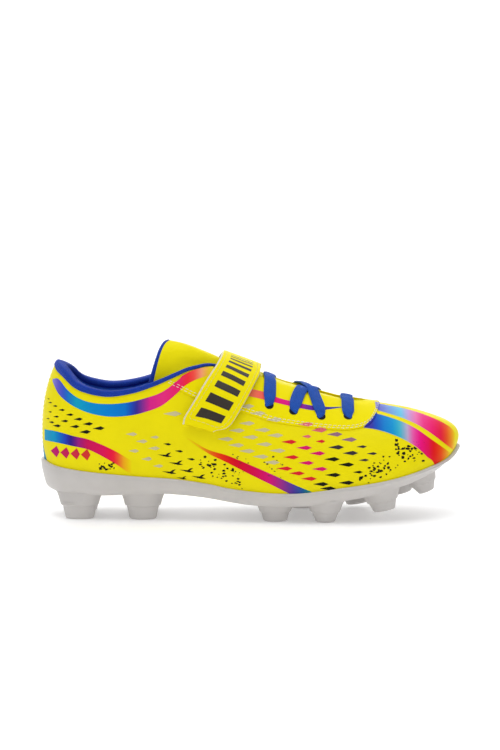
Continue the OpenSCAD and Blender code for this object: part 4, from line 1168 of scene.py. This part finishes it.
# teal band down the back of the heel
z = even(42.5, 28.5, 20)[:, None] + np.zeros(25)
u = (0.014 + 0.034 * smooth(42, 29, z)) * even(-1, 1, 25)
teal = ramp([(28, 10, 130, 150), (36, 0, 145, 190), (43, 0, 150, 200)])
b.add(at(u, level_v(u, z), 0.05), flip(quads(20, 25)), 0, None, teal(z))
# the marks object holds the prints and the painted shade discs of the lace holes
b.done("print_marks_and_hole_shade", [m_ink_and_hole_shade], "shoe", "printed_upper")


# ---------- sewing ----------
def sew(u, v, off=0.0):
    p, n = surf(u, v)
    stitches(b, p + n * off, n, 0, 1.7, 0.75, 0.15)


b = Build()
# two rows round the eyestay
for d in (0.045, 0.11):
    for side in (-1, 1):
        t = foot_t(even(0.36, 0.766, 182))
        v = np.minimum(seam_v(t) + d * 0.28, 0.995)
        kept = v < np.minimum(0.985, edge_v(t) - 0.012)
        u, v = (t if side < 0 else 2 - t)[kept], v[kept]
        sew(u, v, (ink_lift(u, v) - INK_T)[:, None])
# two rows at the vamp's end and down the back of the heel
for du in (-0.004, 0.004):
    end = A(VAMP_END)
    v = even(0.12, float(edge_v(end)) - 0.02, 80)
    v = v[v < float(seam_v(end)) - 0.01]
    sew(VAMP_END + du + 0 * v, v)
    v = even(0.12, float(edge_v(A(0.0))) - 0.04, 60)
    sew(1.9999 + du * 0.8 + 0 * v, v)
# two rows round the front of the throat
for side in (-1, 1):
    for d in (0.9, 2.3):
        w = even(4, 29, 60)
        u, v = spot(66.4 - d - 7.5 * smooth(18, 29, w), w, side)
        sew(u[v < 0.99], v[v < 0.99])
b.done("stitching", [m_thread], "shoe", "lace_knit", sharp=80)

# ---------- studio ----------
me = bpy.data.meshes.new("floor")
bend = even(0, np.pi / 2, 20)
prof = [(-3.0, 0.0)] + [(1.6 + 0.9 * math.sin(a), 0.9 - 0.9 * math.cos(a)) for a in bend] + [(2.5, 4)]
me.from_pydata([(x, y, z) for y, z in prof for x in (-5, 5)], [],
    [(2 * i, 2 * i + 1, 2 * i + 3, 2 * i + 2) for i in range(len(prof) - 1)])
me.shade_smooth()
floor = put("floor", me)
me.materials.append(material("paper", (250, 250, 250), 0.6, (("noise", 0.02, 0.2),), 0.004, 0.01))
shine = me.materials[0].node_tree.nodes["Principled BSDF"].inputs
shine["Emission Color"].default_value = (1, 1, 1, 1)
shine["Emission Strength"].default_value = 0.2


def light(name, loc, aim, size, power):
    d = bpy.data.lights.new(name, "AREA")
    d.shape = "RECTANGLE"
    d.size, d.size_y = size
    d.energy = power
    o = put(name, d)
    o.location = loc
    o.rotation_euler = (Vector(aim) - Vector(loc)).to_track_quat("-Z", "Y").to_euler()


light("key", (-0.3, -0.5, 1.5), (0, 0, 0.04), (1.4, 1.0), 10.2)
light("fill", (1.0, -0.9, 0.6), (0, 0, 0.05), (1.0, 1.0), 1.3)
light("low", (-0.9, -1.2, 0.35), (0, 0, 0.04), (0.9, 0.6), 0.7)
light("top", (0.1, 0.45, 1.5), (0, 0, 0.05), (1.8, 1.0), 8.5)
light("wall", (0, 1.1, 0.5), (0, 2.6, 1.3), (3.0, 1.2), 42)
world = bpy.data.worlds.new("world")
world.use_nodes = True
sky = world.node_tree.nodes["Background"].inputs
sky["Color"].default_value = (1, 1, 1, 1)
sky["Strength"].default_value = 0.34
bpy.context.scene.world = world
bpy.context.scene.view_settings.view_transform = "Standard"

DISTANCE, ELEVATION = 1.506, math.radians(6)
data = bpy.data.cameras.new("camera")
data.lens, data.sensor_width = 135, 36
camera = put("camera", data)
aim = Vector((-0.0003, 0, 0.0752))
camera.location = aim + Vector((0, -math.cos(ELEVATION), math.sin(ELEVATION))) * DISTANCE
camera.rotation_euler = (aim - camera.location).to_track_quat("-Z", "Y").to_euler()
bpy.context.scene.camera = camera
